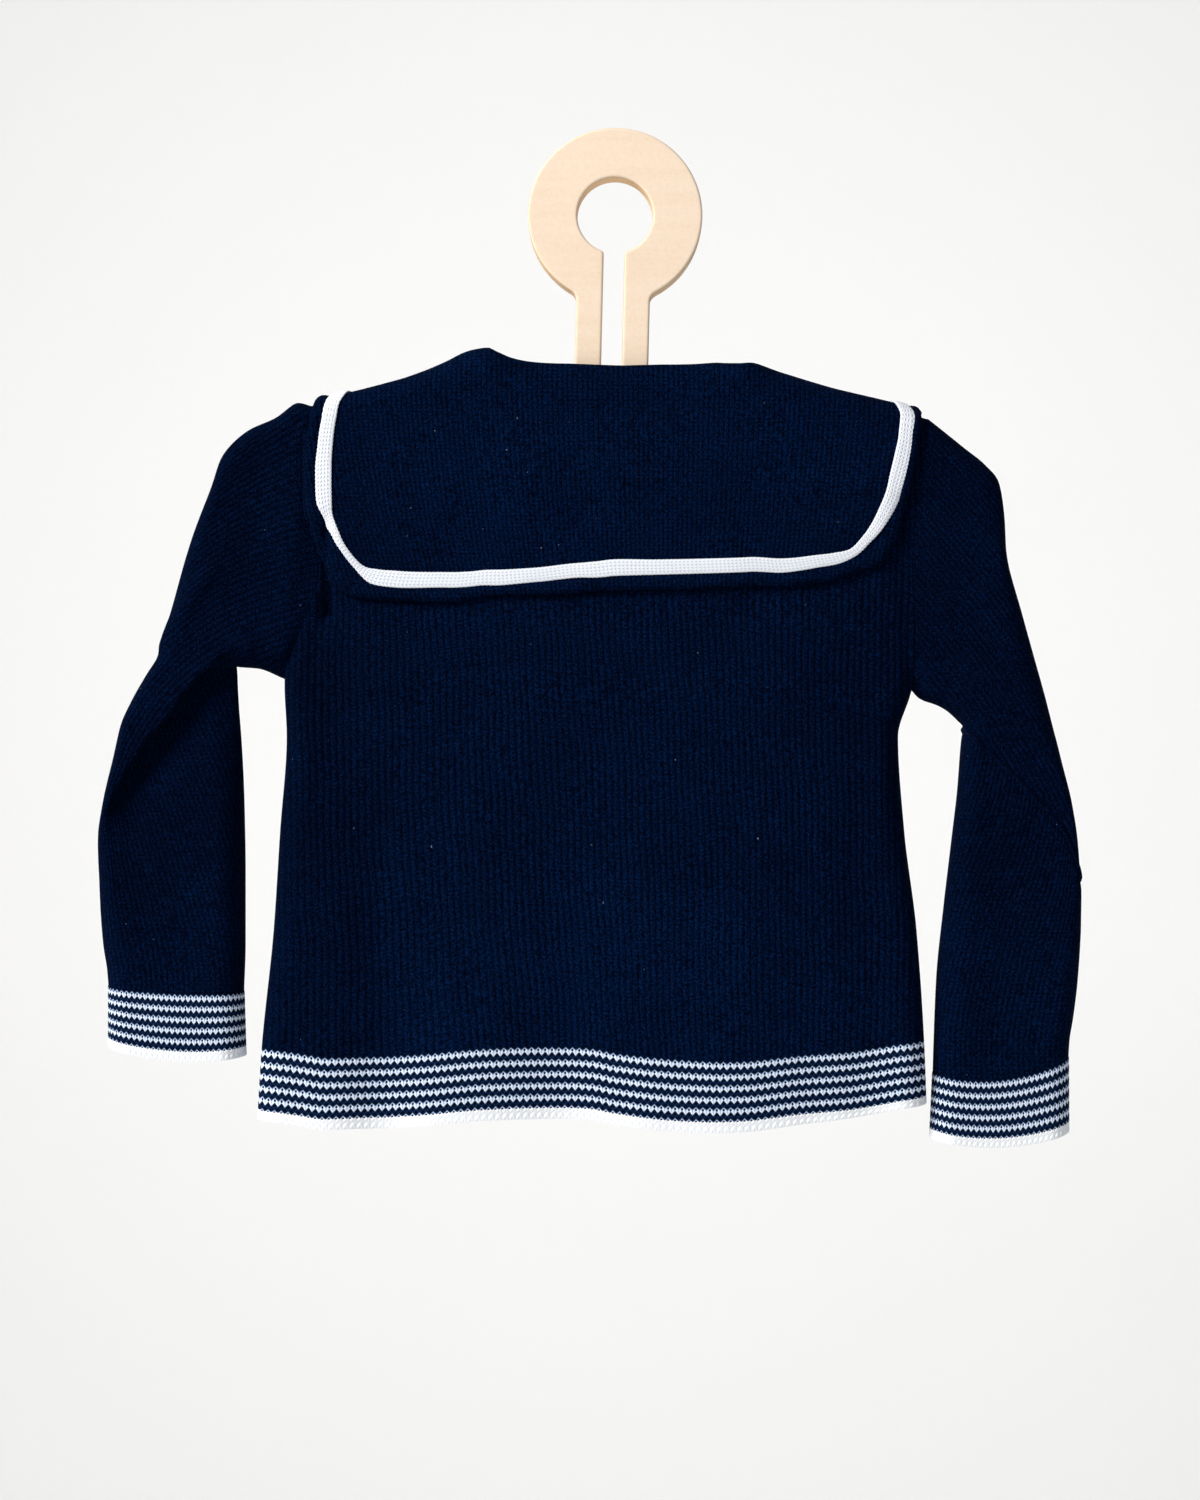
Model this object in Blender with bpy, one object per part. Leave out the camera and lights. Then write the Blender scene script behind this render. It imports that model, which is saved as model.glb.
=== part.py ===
# A child's knitted sailor sweater, seen from its back, on a plywood hanger.
#
# World axes: +X to the viewer's right, -Y towards the viewer, +Z up. The back of
# the sweater faces -Y. The origin is the top of the hole in the hanger's ring,
# where it bears on its nail. Sizes are in millimetres until they reach a mesh.
from collections import namedtuple
from math import asin, cos, pi, radians, sin, sqrt

import bmesh
import bpy
import numpy as np
from mathutils import Vector
from mathutils.geometry import tessellate_polygon

MM = 0.001

# ---- cloth ----
WALL = 2.0              # thickness of the knitted cloth
SEAM_GAP = 0.3          # between two pieces that are sewn or knitted together
ARMHOLE_GAP = 0.8       # at the armholes, whose edges are straight between rows
RIB_HEIGHT = 0.45       # how far a rib stands out of the panel
SHOULDER_ROUND = 9.0    # radius of the cloth where it folds over the hanger
SIDE_ROUND = 13.0       # radius of the fold at the side seams
UNDERARM_ROUND = 22.0   # how soon the armhole opens above the underarm
ARMHOLE_DEPTH = 9.6     # half the front-to-back size of the armhole
SEAM_EASE = 9.0         # how wide the dip is beside an armhole seam

# ---- body ----
# height of each row, its left and right edge, and half its depth at the back and front
BodyRow = namedtuple("BodyRow", "z left right back front")
BODY_ROWS = [
    BodyRow(-440, -164.0, 142.6, 14.0, 14.0),
    BodyRow(-400, -161.5, 141.2, 14.0, 14.0),
    BodyRow(-345, -156.5, 138.2, 13.6, 14.0),
    BodyRow(-299, -154.0, 133.0, 13.2, 14.0),
    BodyRow(-256, -151.0, 130.2, 12.6, 13.5),
    BodyRow(-232, -152.0, 136.5, 12.0, 13.0),
    BodyRow(-205, -142.8, 136.4, 11.4, 12.5),
    BodyRow(-180, -135.2, 135.4, 10.8, 12.0),
    BodyRow(-152, -142.6, 136.6, 10.4, 11.5),
    BodyRow(-130, -145.0, 139.8, 10.0, 10.8),
    BodyRow(-107, -139.4, 143.5, 9.4, 9.8),
]
# the shoulder line under the collar, from the left shoulder point to the right one
ShoulderPoint = namedtuple("ShoulderPoint", "x z")
SHOULDER_LINE = [
    ShoulderPoint(-139.4, -104.0),
    ShoulderPoint(-124.0, -101.3),
    ShoulderPoint(-99.0, -95.0),
    ShoulderPoint(-76.0, -88.6),
    ShoulderPoint(-56.6, -84.6),
    ShoulderPoint(2.0, -87.2),
    ShoulderPoint(60.7, -90.2),
    ShoulderPoint(76.0, -93.6),
    ShoulderPoint(108.0, -100.9),
    ShoulderPoint(131.0, -106.4),
    ShoulderPoint(143.5, -110.0),
]
LEFT_SHOULDER, RIGHT_SHOULDER = SHOULDER_LINE[0], SHOULDER_LINE[-1]
UNDERARM_LEFT = -229.5
UNDERARM_RIGHT = -235.0
NECK_LEFT, NECK_RIGHT = -56.6, 60.7
NECK_HALF_DEPTH = 9.6
BACK_NECK_DROP = 7.0
FRONT_NECK_DROP = 91.0
# the lower edge of the ribbed cloth, where the striped band begins
HemPoint = namedtuple("HemPoint", "x z")
HEM_LINE = [
    HemPoint(-162, -398.6),
    HemPoint(-131, -402.8),
    HemPoint(-99, -402.2),
    HemPoint(-62, -398.6),
    HemPoint(-27, -397.3),
    HemPoint(21, -402.4),
    HemPoint(60, -404.0),
    HemPoint(100, -400.6),
    HemPoint(133, -395.2),
    HemPoint(142, -395.8),
]
BAND_HEIGHT = 27.2      # five white rows on navy
EDGE_HEIGHT = 5.8       # plain white edge below them
BODY_RIBS = 82

# soft vertical folds: where each one lies at its top and bottom, its width, its
# height above the plain cloth (less than 0 for a trough), and where it starts
Fold = namedtuple("Fold", "x_top x_bottom width height z_top")
BACK_FOLDS = [
    Fold(-128, -131, 15, 2.0, -215),
    Fold(-108, -106, 13, -2.6, -200),
    Fold(-58, -70, 24, 1.4, -235),
    Fold(-12, -24, 22, -3.4, -240),
    Fold(52, 50, 30, 3.2, -225),
    Fold(112, 118, 15, -2.8, -230),
]
FRONT_FOLDS = [
    Fold(-118, -122, 16, -2.4, -225),
    Fold(-60, -66, 26, 2.4, -235),
    Fold(4, -2, 22, -3.0, -250),
    Fold(62, 70, 28, 2.6, -230),
    Fold(114, 116, 14, -2.0, -240),
]

# ---- sleeves ----
# each ring of a sleeve: its outer and inner point seen from the back, half its
# depth at the back and front, how round its outer and inner folds are, and how
# far a hollow is pressed into its back, with the place of that hollow
Ring = namedtuple("Ring", "out_x out_z in_x in_z back front round hollow place")
SLEEVE_LEFT_RINGS = [
    Ring(-139.4, -104.0, -152.3, -229.5, 9.6, 9.6, 9, 0, 0.7),
    Ring(-167.5, -115.5, -160.0, -226.8, 10.0, 10.0, 10, 0, 0.7),
    Ring(-180.5, -126.5, -163.5, -225.4, 11.0, 11.0, 11, 0, 0.7),
    Ring(-196.5, -177.0, -167.5, -224.6, 12.0, 12.0, 11, 0, 0.7),
    Ring(-212.0, -221.0, -170.0, -224.6, 12.5, 13.0, 11, -1.0, 0.7),
    Ring(-227.5, -262.0, -171.4, -225.4, 13.5, 14.0, 11, -2.5, 0.7),
    Ring(-232.4, -294.0, -172.2, -228.5, 13.5, 14.0, 11, -2.0, 0.7),
    Ring(-234.2, -303.0, -172.4, -236.0, 13.0, 14.0, 12, 8.5, 0.66),
    Ring(-236.6, -321.0, -171.6, -256.0, 12.5, 14.0, 12, 5.0, 0.6),
    Ring(-236.6, -345.0, -170.2, -310.0, 12.0, 13.5, 12, 0.5, 0.6),
    Ring(-233.0, -370.0, -170.4, -373.0, 11.5, 12.5, 11, 0, 0.6),
]
SLEEVE_RIGHT_RINGS = [
    Ring(143.5, -110.0, 136.5, -235.0, 9.6, 9.6, 9, 0, 0.7),
    Ring(170.2, -131.4, 146.5, -239.7, 10.5, 10.5, 10, 0, 0.7),
    Ring(178.8, -153.0, 151.5, -243.0, 11.5, 11.5, 11, 0, 0.7),
    Ring(186.0, -192.0, 156.0, -246.6, 12.0, 12.0, 11, 0, 0.7),
    Ring(197.8, -239.2, 158.8, -250.3, 12.5, 13.0, 11, 0, 0.7),
    Ring(206.8, -283.0, 159.6, -252.5, 12.8, 14.0, 11, -0.6, 0.7),
    Ring(210.4, -305.0, 159.2, -257.5, 12.4, 14.0, 11, 1.6, 0.6),
    Ring(212.8, -323.0, 158.2, -270.0, 12.2, 14.0, 11, 0.8, 0.6),
    Ring(214.0, -346.0, 156.0, -300.0, 12.0, 13.5, 12, 0, 0.6),
    Ring(211.6, -380.0, 150.4, -357.0, 11.5, 13.0, 12, 0, 0.6),
    Ring(208.0, -407.5, 146.0, -411.0, 11.0, 12.5, 11, 0, 0.6),
]
# a cuff's last ring, and how far its middle hangs below its ends
CUFF_LEFT_END = Ring(-232.6, -399.0, -169.8, -402.5, 12.0, 13.0, 11, 0, 0.6)
CUFF_RIGHT_END = Ring(208.2, -436.5, 144.8, -440.0, 11.5, 13.0, 11, 0, 0.6)
CUFF_EDGE_SHARE = 0.17
SLEEVE_RIBS = 40
CUFF_POINTS = 26

# ---- collar ----
COLLAR_WALL = 1.8
COLLAR_LIFT = 1.3       # between the panel's cloth and the collar lying on it
ROLL_RADIUS = 1.25      # middle of the wall, where the collar folds over
# one row for each ray from the neck to the collar's edge, from the tip of the
# left lapel round the back: which side it lies on, its place on the neck and at
# the edge, and how high it stands before it folds over
Ray = namedtuple("Ray", "side neck_x edge_x edge_z stand")
BACK, FRONT = -1, 1
COLLAR_RAYS = [
    Ray(FRONT, 1.6, 1.6, -199.0, 3.0),
    Ray(FRONT, -8.0, -22.0, -190.0, 3.0),
    Ray(FRONT, -21.0, -54.0, -175.5, 3.0),
    Ray(FRONT, -34.0, -85.0, -156.5, 3.2),
    Ray(FRONT, -45.0, -112.0, -135.0, 3.6),
    Ray(FRONT, -51.0, -126.0, -120.0, 4.0),
    Ray(FRONT, -54.5, -133.0, -110.0, 4.4),
    Ray(FRONT, -56.2, -135.4, -104.8, 4.7),
    Ray(BACK, -56.6, -136.4, -103.2, 4.9),
    Ray(BACK, -56.2, -137.6, -105.6, 4.9),
    Ray(BACK, -55.2, -139.6, -112.0, 4.6),
    Ray(BACK, -53.6, -142.0, -122.0, 4.6),
    Ray(BACK, -51.4, -143.2, -138.0, 4.8),
    Ray(BACK, -48.4, -140.4, -152.0, 5.2),
    Ray(BACK, -44.6, -133.0, -168.0, 5.8),
    Ray(BACK, -40.0, -123.4, -181.0, 6.4),
    Ray(BACK, -34.0, -111.0, -190.0, 7.0),
    Ray(BACK, -27.0, -88.0, -191.2, 7.4),
    Ray(BACK, -19.0, -62.0, -190.8, 7.6),
    Ray(BACK, -9.0, -32.0, -188.6, 7.6),
    Ray(BACK, 2.0, 0.0, -185.6, 7.6),
    Ray(BACK, 13.0, 32.0, -184.8, 7.6),
    Ray(BACK, 23.0, 62.0, -184.4, 7.4),
    Ray(BACK, 32.0, 88.0, -182.4, 7.0),
    Ray(BACK, 39.6, 108.0, -178.6, 6.2),
    Ray(BACK, 45.0, 120.0, -170.6, 5.2),
    Ray(BACK, 49.6, 129.0, -157.0, 4.4),
    Ray(BACK, 53.4, 134.0, -142.0, 3.8),
    Ray(BACK, 56.6, 137.2, -128.0, 3.4),
    Ray(BACK, 59.0, 139.2, -117.0, 3.2),
    Ray(BACK, 60.2, 139.6, -110.8, 3.2),
    Ray(BACK, 60.7, 139.4, -108.4, 3.2),
    Ray(FRONT, 60.3, 138.4, -110.4, 3.3),
    Ray(FRONT, 58.6, 135.6, -116.0, 3.6),
    Ray(FRONT, 55.0, 128.6, -126.0, 3.8),
    Ray(FRONT, 48.0, 114.0, -141.0, 3.5),
    Ray(FRONT, 37.0, 87.0, -160.5, 3.0),
    Ray(FRONT, 24.0, 56.0, -177.5, 3.0),
    Ray(FRONT, 11.0, 25.0, -191.0, 3.0),
    Ray(FRONT, 1.6, 1.6, -199.0, 3.0),
]
# shares of the way from the neck to the edge, and how far the cloth is lofted there
COLLAR_STEPS = [(0.14, 0.7), (0.34, 0.3), (0.56, 0.0), (0.78, 0.0), (1.0, 0.0)]
LAPEL_GAP = 0.4         # from the middle of the front to each lapel
TRIM_INSET = 6.4        # from the collar's edge to the braid
TRIM_WIDTH = 8.0
TRIM_WALL = 1.1
TRIM_GAP = 1.0

# ---- hanger ----
PLY = 12.0
RING_RADIUS = 40.0
HOLE_RADIUS = 17.3
STEM_HALF_WIDTH = 16.9
SLOT_HALF_WIDTH = 4.75
SLOT_LENGTH = 84.0      # from the middle of the hole to the slot's round end
STEM_FILLET = 5.0
SLOT_FILLET = 2.0
HANGER_TILT = radians(1.4)
ARM_HALF_SPAN = 165.0
ARM_CREST = -73.5       # crest of the arms, below the middle of the ring
ARM_SAG_RADIUS = 372.0
ARM_HEIGHT = 26.0


# ======== curves ========

def smooth(x, xs, ys):
    """Monotone cubic through the points xs, ys, flat where a run of them turns."""
    xs = np.asarray(xs, float)
    ys = np.asarray(ys, float)
    step = np.diff(xs)
    slope = np.diff(ys) / step
    before, after = slope[:-1], slope[1:]
    safe = np.where(before * after > 0, before + after, 1.0)
    middle = np.where(before * after > 0, 2 * before * after / safe, 0.0)
    tangent = np.concatenate([slope[:1], middle, slope[-1:]])
    x = np.clip(np.asarray(x, float), xs[0], xs[-1])
    i = np.clip(np.searchsorted(xs, x, side="right") - 1, 0, len(step) - 1)
    t = (x - xs[i]) / step[i]
    return ((1 + 2 * t) * (1 - t) ** 2 * ys[i] + t * (1 - t) ** 2 * step[i] * tangent[i]
            + t ** 2 * (3 - 2 * t) * ys[i + 1] + t ** 2 * (t - 1) * step[i] * tangent[i + 1])


def column(rows, name):
    return np.array([getattr(row, name) for row in rows], float)


def quarter_round(distance, radius):
    """Height, 0 to 1, of a round edge at a distance from its rim."""
    inward = 1 - np.clip(distance / radius, 0, 1)
    return np.sqrt(np.clip(1 - inward ** 2, 0, 1))


def ease(t):
    t = np.clip(t, 0, 1)
    return t * t * (3 - 2 * t)


# ======== the body's form ========

def shoulder_height(x):
    return smooth(x, column(SHOULDER_LINE, "x"), column(SHOULDER_LINE, "z"))


def left_edge(z):
    return smooth(z, column(BODY_ROWS, "z"), column(BODY_ROWS, "left"))


def right_edge(z):
    return smooth(z, column(BODY_ROWS, "z"), column(BODY_ROWS, "right"))


def armhole_depth(z, shoulder, underarm):
    """Half the armhole's front-to-back size at a height; 0 outside the armhole."""
    return (ARMHOLE_DEPTH * quarter_round(np.maximum(shoulder - z, 0), SHOULDER_ROUND)
            * quarter_round(np.maximum(z - underarm, 0), UNDERARM_ROUND))


def neck_share(x):
    """Place across the neck, -1 at its left point to 1 at its right one."""
    return np.clip((2 * x - NECK_LEFT - NECK_RIGHT) / (NECK_RIGHT - NECK_LEFT), -1, 1)


def neck_depth(x):
    """Half the neck's front-to-back opening."""
    return NECK_HALF_DEPTH * (1 - np.abs(neck_share(x)) ** 6) ** (1 / 6)


def neck_drop(x, side):
    """How far the neckline lies below the shoulder line."""
    share = np.abs(neck_share(x))
    if side == FRONT:
        return FRONT_NECK_DROP * (1 - share)
    return BACK_NECK_DROP * (1 - share ** 4)


def fold_height(x, z, side):
    """Sum of the side's soft folds, each a round ridge that grows towards the hem."""
    total = np.zeros(np.broadcast(x, z).shape)
    for fold in BACK_FOLDS if side == BACK else FRONT_FOLDS:
        down = np.clip((fold.z_top - z) / (fold.z_top - BODY_ROWS[0].z), 0, 1)
        middle = fold.x_top + (fold.x_bottom - fold.x_top) * down
        total += fold.height * ease(down * 1.6) * np.exp(-((x - middle) / fold.width) ** 2)
    return total


def body_depth(x, z, side, top_share):
    """Distance of the body's outer face from the middle plane at x, z."""
    name = "back" if side == BACK else "front"
    plain = smooth(z, column(BODY_ROWS, "z"), column(BODY_ROWS, name)) + fold_height(x, z, side)
    neck = neck_depth(x)
    depth = neck + (plain - neck) * top_share
    for edge, shoulder, underarm in (
            (x - left_edge(z), LEFT_SHOULDER.z, UNDERARM_LEFT),
            (right_edge(z) - x, RIGHT_SHOULDER.z, UNDERARM_RIGHT)):
        armhole = armhole_depth(z, shoulder, underarm)
        sewn = armhole / ARMHOLE_DEPTH
        rise = (1 - sewn) * quarter_round(edge, SIDE_ROUND) + sewn * ease(edge / SEAM_EASE)
        depth = armhole + (depth - armhole) * rise
    return depth


def drop_of(cloth):
    """Height lost after a length of cloth down from the shoulder line."""
    turn = np.clip(cloth / SHOULDER_ROUND, 0, pi / 2)
    straight = np.maximum(cloth - SHOULDER_ROUND * pi / 2, 0)
    return SHOULDER_ROUND * (1 - np.cos(turn)) + straight


def cloth_of(drop):
    """Length of cloth from the shoulder line to a height below it."""
    turn = np.arccos(1 - np.clip(drop / SHOULDER_ROUND, 0, 1))
    return SHOULDER_ROUND * turn + np.maximum(drop - SHOULDER_ROUND, 0)


def body_point(x, cloth, side):
    """Outer face of the body at x and a length of cloth down from the shoulder line."""
    cloth = np.maximum(cloth, 0)
    z = shoulder_height(x) - drop_of(cloth)
    top_share = np.sin(np.clip(cloth / SHOULDER_ROUND, 0, pi / 2))
    y = side * body_depth(x, z, side, top_share)
    return np.stack(np.broadcast_arrays(x, y, z), axis=-1)


def unit(vectors):
    length = np.linalg.norm(vectors, axis=-1, keepdims=True)
    return vectors / np.maximum(length, 1e-9)


def body_normal(x, cloth, side):
    """Direction out of the cloth, from two short steps along it."""
    h = 0.05
    across = body_point(x + h, cloth, side) - body_point(x - h, cloth, side)
    down = body_point(x, np.maximum(cloth, 0) + h, side) - body_point(x, cloth, side)
    return unit(np.cross(across, down)) * side


def over_body(x, cloth, lift):
    """A point lifted off the body; cloth is below 0 at the front, over 0 at the back."""
    x = np.asarray(x, float)
    cloth = np.asarray(cloth, float)
    result = np.zeros(np.broadcast(x, cloth).shape + (3,))
    for side in (BACK, FRONT):
        point = body_point(x, np.abs(cloth), side)
        normal = body_normal(x, np.abs(cloth), side)
        on_side = (cloth >= 0) == (side == BACK)
        result = np.where(on_side[..., None], point + lift * normal, result)
    return result


# ======== walls ========

def add_object(name, points, faces, look):
    """A mesh object of points in millimetres, with its faces turned outwards."""
    mesh = bpy.data.meshes.new(name)
    bm = bmesh.new()
    verts = [bm.verts.new(tuple(float(c) * MM for c in p)) for p in points]
    for face in faces:
        bm.faces.new([verts[i] for i in face])
    bmesh.ops.recalc_face_normals(bm, faces=bm.faces)
    bm.to_mesh(mesh)
    bm.free()
    mesh.shade_smooth()
    mesh.set_sharp_from_angle(angle=radians(50))
    mesh.materials.append(look)
    obj = bpy.data.objects.new(name, mesh)
    bpy.context.collection.objects.link(obj)
    return obj


class WallMesh:
    """Points and faces of one closed wall."""

    def __init__(self):
        self.points = []
        self.faces = []

    def add_grid(self, grid):
        """Adds a rows x columns x 3 array and returns its point numbers."""
        first = len(self.points)
        self.points.extend(grid.reshape(-1, 3))
        return first + np.arange(grid.shape[0] * grid.shape[1]).reshape(grid.shape[:2])

    def fill(self, ids, closed=False):
        """Triangles between the neighbouring rows and columns of a grid."""
        if closed:
            ids = np.concatenate([ids, ids[:, :1]], axis=1)
        for lower, upper in zip(ids[:-1], ids[1:]):
            for k in range(len(lower) - 1):
                self.faces.append((lower[k], lower[k + 1], upper[k + 1]))
                self.faces.append((lower[k], upper[k + 1], upper[k]))

    def stitch(self, fine, coarse, fine_at, coarse_at):
        """Triangles between two rows with different numbers of points."""
        i = j = 0
        while i < len(fine) - 1 or j < len(coarse) - 1:
            step_fine = j == len(coarse) - 1 or (
                i < len(fine) - 1 and fine_at[i + 1] <= coarse_at[j + 1])
            if step_fine:
                self.faces.append((fine[i], fine[i + 1], coarse[j]))
                i += 1
            else:
                self.faces.append((fine[i], coarse[j + 1], coarse[j]))
                j += 1


def ribbed(grid, normals):
    """Every second column of a grid raised along its normals, apart from its ends."""
    raised = grid.copy()
    raised[:, 3:-2:2] += RIB_HEIGHT * normals[:, 3:-2:2]
    return raised


# ======== front, back and hem ========

RIB_COLUMNS = 2 * BODY_RIBS
COARSE_STEP = 4
BAND_COLUMNS = 56
# the neck's ends lie on the first and last of these columns
NECK_COLUMNS = (48, 49, 50, 114, 115, 116)
PANEL_ROWS = [0, 0.05, 0.1, 0.2, 0.27, 0.34, 0.42, 0.47, 0.5, 0.6, 1.0]
ROUND_UNTIL = 0.1       # rows up to here go round the shoulder
UNDERARM_AT = 0.5       # the row that meets the underarm


def coarse_columns(count, step, extra=()):
    """Every step-th column, the first and last few for the side folds, and any extra."""
    near = [1, 2]
    inner = list(range(0, count + 1, step))
    return sorted(set(inner + near + [count - k for k in near] + list(extra)))


def row_x(u, z):
    left, right = left_edge(z), right_edge(z)
    return left + u * (right - left)


def panel_point(u, v, side):
    """Outer face of a panel: u runs from left to right, v from the top to the hem."""
    x_top = LEFT_SHOULDER.x + u * (RIGHT_SHOULDER.x - LEFT_SHOULDER.x)
    top = shoulder_height(x_top) - neck_drop(x_top, side)
    turn = np.clip(v / ROUND_UNTIL, 0, 1) * pi / 2
    underarm = UNDERARM_LEFT + u * (UNDERARM_RIGHT - UNDERARM_LEFT)
    hem_x = HEM_LINE[0].x + u * (HEM_LINE[-1].x - HEM_LINE[0].x)
    hem = smooth(hem_x, column(HEM_LINE, "x"), column(HEM_LINE, "z"))
    round_end = top - SHOULDER_ROUND
    to_underarm = np.clip((v - ROUND_UNTIL) / (UNDERARM_AT - ROUND_UNTIL), 0, 1)
    to_hem = np.maximum((v - UNDERARM_AT) / (1 - UNDERARM_AT), 0)
    z = (top - SHOULDER_ROUND * (1 - np.cos(turn)) + (underarm - round_end) * to_underarm
         + (hem - underarm) * np.minimum(to_hem, 1))
    z = z - np.maximum(v - 1, 0)            # past the hem, v counts millimetres
    x = row_x(u, z) + (x_top - row_x(u, top)) * (1 - ease(v / UNDERARM_AT))
    drop = np.maximum(shoulder_height(x) - z, 0)
    drop = np.where((v <= 0) & (np.abs(neck_share(x)) >= 1), 0, drop)
    cloth = cloth_of(drop)
    return body_point(x, cloth, side)


def panel_normal(u, v, side):
    h = 1e-4
    low_u, high_u = np.maximum(u - h, 0), np.minimum(u + h, 1)
    low_v = np.maximum(v - h, 0)
    across = panel_point(high_u, v, side) - panel_point(low_u, v, side)
    down = panel_point(u, low_v + h, side) - panel_point(u, low_v, side)
    return unit(np.cross(across, down)) * side


def panel_wall(name, side, rows, columns, coarse, ribs_from, look):
    """A closed wall on the panel's form, ribbed from one of its rows downwards."""
    mesh = WallMesh()
    u_all = np.arange(columns + 1) / columns
    u_few = np.array(coarse) / columns
    v = np.array(rows, float)[:, None]
    fine = panel_point(u_all[None, :], v, side)
    few = panel_point(u_few[None, :], v, side)
    few_normals = panel_normal(u_few[None, :], v, side)
    inside = few - WALL * few_normals
    # the rims lie in the planes of the seams
    seam = side * SEAM_GAP / 2
    for grid in (fine, few, inside):
        grid[..., 1] = side * np.maximum(side * grid[..., 1], abs(seam))
    inside[:, 0, 0] = np.where(few_normals[:, 0, 0] < -0.5, inside[:, 0, 0], few[:, 0, 0])
    inside[:, -1, 0] = np.where(few_normals[:, -1, 0] > 0.5, inside[:, -1, 0], few[:, -1, 0])
    inside[-1, :, 2] = few[-1, :, 2]
    if rows[0] > 0:
        inside[0, :, 2] = few[0, :, 2]
    in_ids = mesh.add_grid(inside)
    if ribs_from is None:
        out_ids = mesh.add_grid(few)
        mesh.fill(out_ids)
        top_row, bottom_row = out_ids[0], out_ids[-1]
        top_u, bottom_u = u_few, u_few
    else:
        normals = panel_normal(u_all[None, :], v, side)
        plain_ids = mesh.add_grid(few[:ribs_from])
        rib_ids = mesh.add_grid(ribbed(fine[ribs_from:], normals[ribs_from:]))
        mesh.fill(plain_ids)
        mesh.fill(rib_ids)
        mesh.stitch(rib_ids[0], plain_ids[-1], u_all, u_few)
        top_row, bottom_row = plain_ids[0], rib_ids[-1]
        top_u, bottom_u = u_few, u_all
        out_ids = np.concatenate([
            np.stack([plain_ids[:, 0], plain_ids[:, -1]], axis=1),
            np.stack([rib_ids[:, 0], rib_ids[:, -1]], axis=1)])
    mesh.fill(in_ids)
    mesh.stitch(top_row, in_ids[0], top_u, u_few)
    mesh.stitch(bottom_row, in_ids[-1], bottom_u, u_few)
    mesh.fill(np.stack([out_ids[:, 0], in_ids[:, 0]], axis=1))
    mesh.fill(np.stack([out_ids[:, -1], in_ids[:, -1]], axis=1))
    return add_object(name, mesh.points, mesh.faces, look)


# ======== sleeves and cuffs ========

def ring_curve(ring, count, bow):
    """Outer curve of a ring: the back half from the outer point to the inner one,
    then the front half back again, in equal steps of length."""
    outer = np.array([ring.out_x, ring.out_z])
    inner = np.array([ring.in_x, ring.in_z])
    length = np.linalg.norm(inner - outer)
    t = 0.5 - 0.5 * np.cos(np.linspace(0, pi, 181))
    halves = []
    for side, depth in ((BACK, ring.back), (FRONT, ring.front)):
        edge = quarter_round(t * length, ring.round) * quarter_round(
            (1 - t) * length, ring.round)
        press = ring.hollow * np.exp(-((t - ring.place) / 0.24) ** 2) if side == BACK else 0
        y = side * np.maximum(depth - press, 3.2) * edge
        flat = outer + t[:, None] * (inner - outer) + bow(t)
        curve = np.stack([flat[:, 0], y, flat[:, 1]], axis=1)
        along = np.concatenate([[0], np.cumsum(np.linalg.norm(np.diff(curve, axis=0), axis=1))])
        wanted = np.linspace(0, along[-1], count // 2 + 1)
        halves.append(np.stack([np.interp(wanted, along, curve[:, k]) for k in range(3)], axis=1))
    back, front = halves
    return np.concatenate([back[:-1], front[::-1][:-1]])


def armhole_ring(count, edge_u, shift):
    """A sleeve's first ring, which follows the edges of the two panels."""
    rows = np.array([v for v in PANEL_ROWS if v <= UNDERARM_AT])
    curve = panel_point(np.full(len(rows), float(edge_u)), rows, BACK)
    curve[:, 0] += shift
    along = np.concatenate([[0], np.cumsum(np.linalg.norm(np.diff(curve, axis=0), axis=1))])
    wanted = np.linspace(0, along[-1], count // 2 + 1)
    back = np.stack([np.interp(wanted, along, curve[:, k]) for k in range(3)], axis=1)
    for corner in curve[1:-1]:
        back[np.argmin(np.linalg.norm(back - corner, axis=1))] = corner
    front = back * (1, -1, 1)
    return np.concatenate([back[:-1], front[::-1][:-1]])


def ring_normals(points, centre_line):
    """Outward directions of a ring, square to it and within its own plane."""
    tangent = unit(np.roll(points, -1, axis=0) - np.roll(points, 1, axis=0))
    return unit(np.cross(tangent, centre_line))


def straight(t):
    return np.zeros((len(t), 2))


def sagging(depth):
    """A cuff's lower rings hang a little lower in their middle."""
    def bow(t):
        return np.stack([np.zeros(len(t)), -depth * 4 * t * (1 - t)], axis=1)
    return bow


def between(first, last, share):
    return Ring(*[a + (b - a) * share for a, b in zip(first, last)])


def tube_wall(name, rings, look, ribs, coarse_step, upright_start=False):
    """A closed wall through rings with equal numbers of points."""
    mesh = WallMesh()
    count = rings[0].shape[0]
    chords = [unit(ring[count // 2] - ring[0]) for ring in rings]
    normals = np.array([
        ring_normals(ring, unit(np.cross(chord, (0, 1, 0))))
        for ring, chord in zip(rings, chords)])
    outer = np.array(rings)
    middle = outer.mean(axis=1, keepdims=True)
    inwards = np.sum(normals * (outer - middle), axis=(1, 2), keepdims=True) < 0
    normals = np.where(inwards, -normals, normals)
    if upright_start:
        normals[0] = unit(normals[0] * (0, 1, 1))
    few = np.arange(0, count, coarse_step)
    inner = outer[:, few] - WALL * normals[:, few]
    if ribs:
        outer = outer.copy()
        outer[:, 1::2] += RIB_HEIGHT * normals[:, 1::2]
    out_ids = mesh.add_grid(outer)
    in_ids = mesh.add_grid(inner)
    mesh.fill(out_ids, closed=True)
    mesh.fill(in_ids, closed=True)
    at = np.arange(count + 1) / count
    few_at = np.append(few, count) / count
    for row in (0, -1):
        mesh.stitch(np.append(out_ids[row], out_ids[row][0]),
                    np.append(in_ids[row], in_ids[row][0]), at, few_at)
    return add_object(name, mesh.points, mesh.faces, look)


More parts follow.
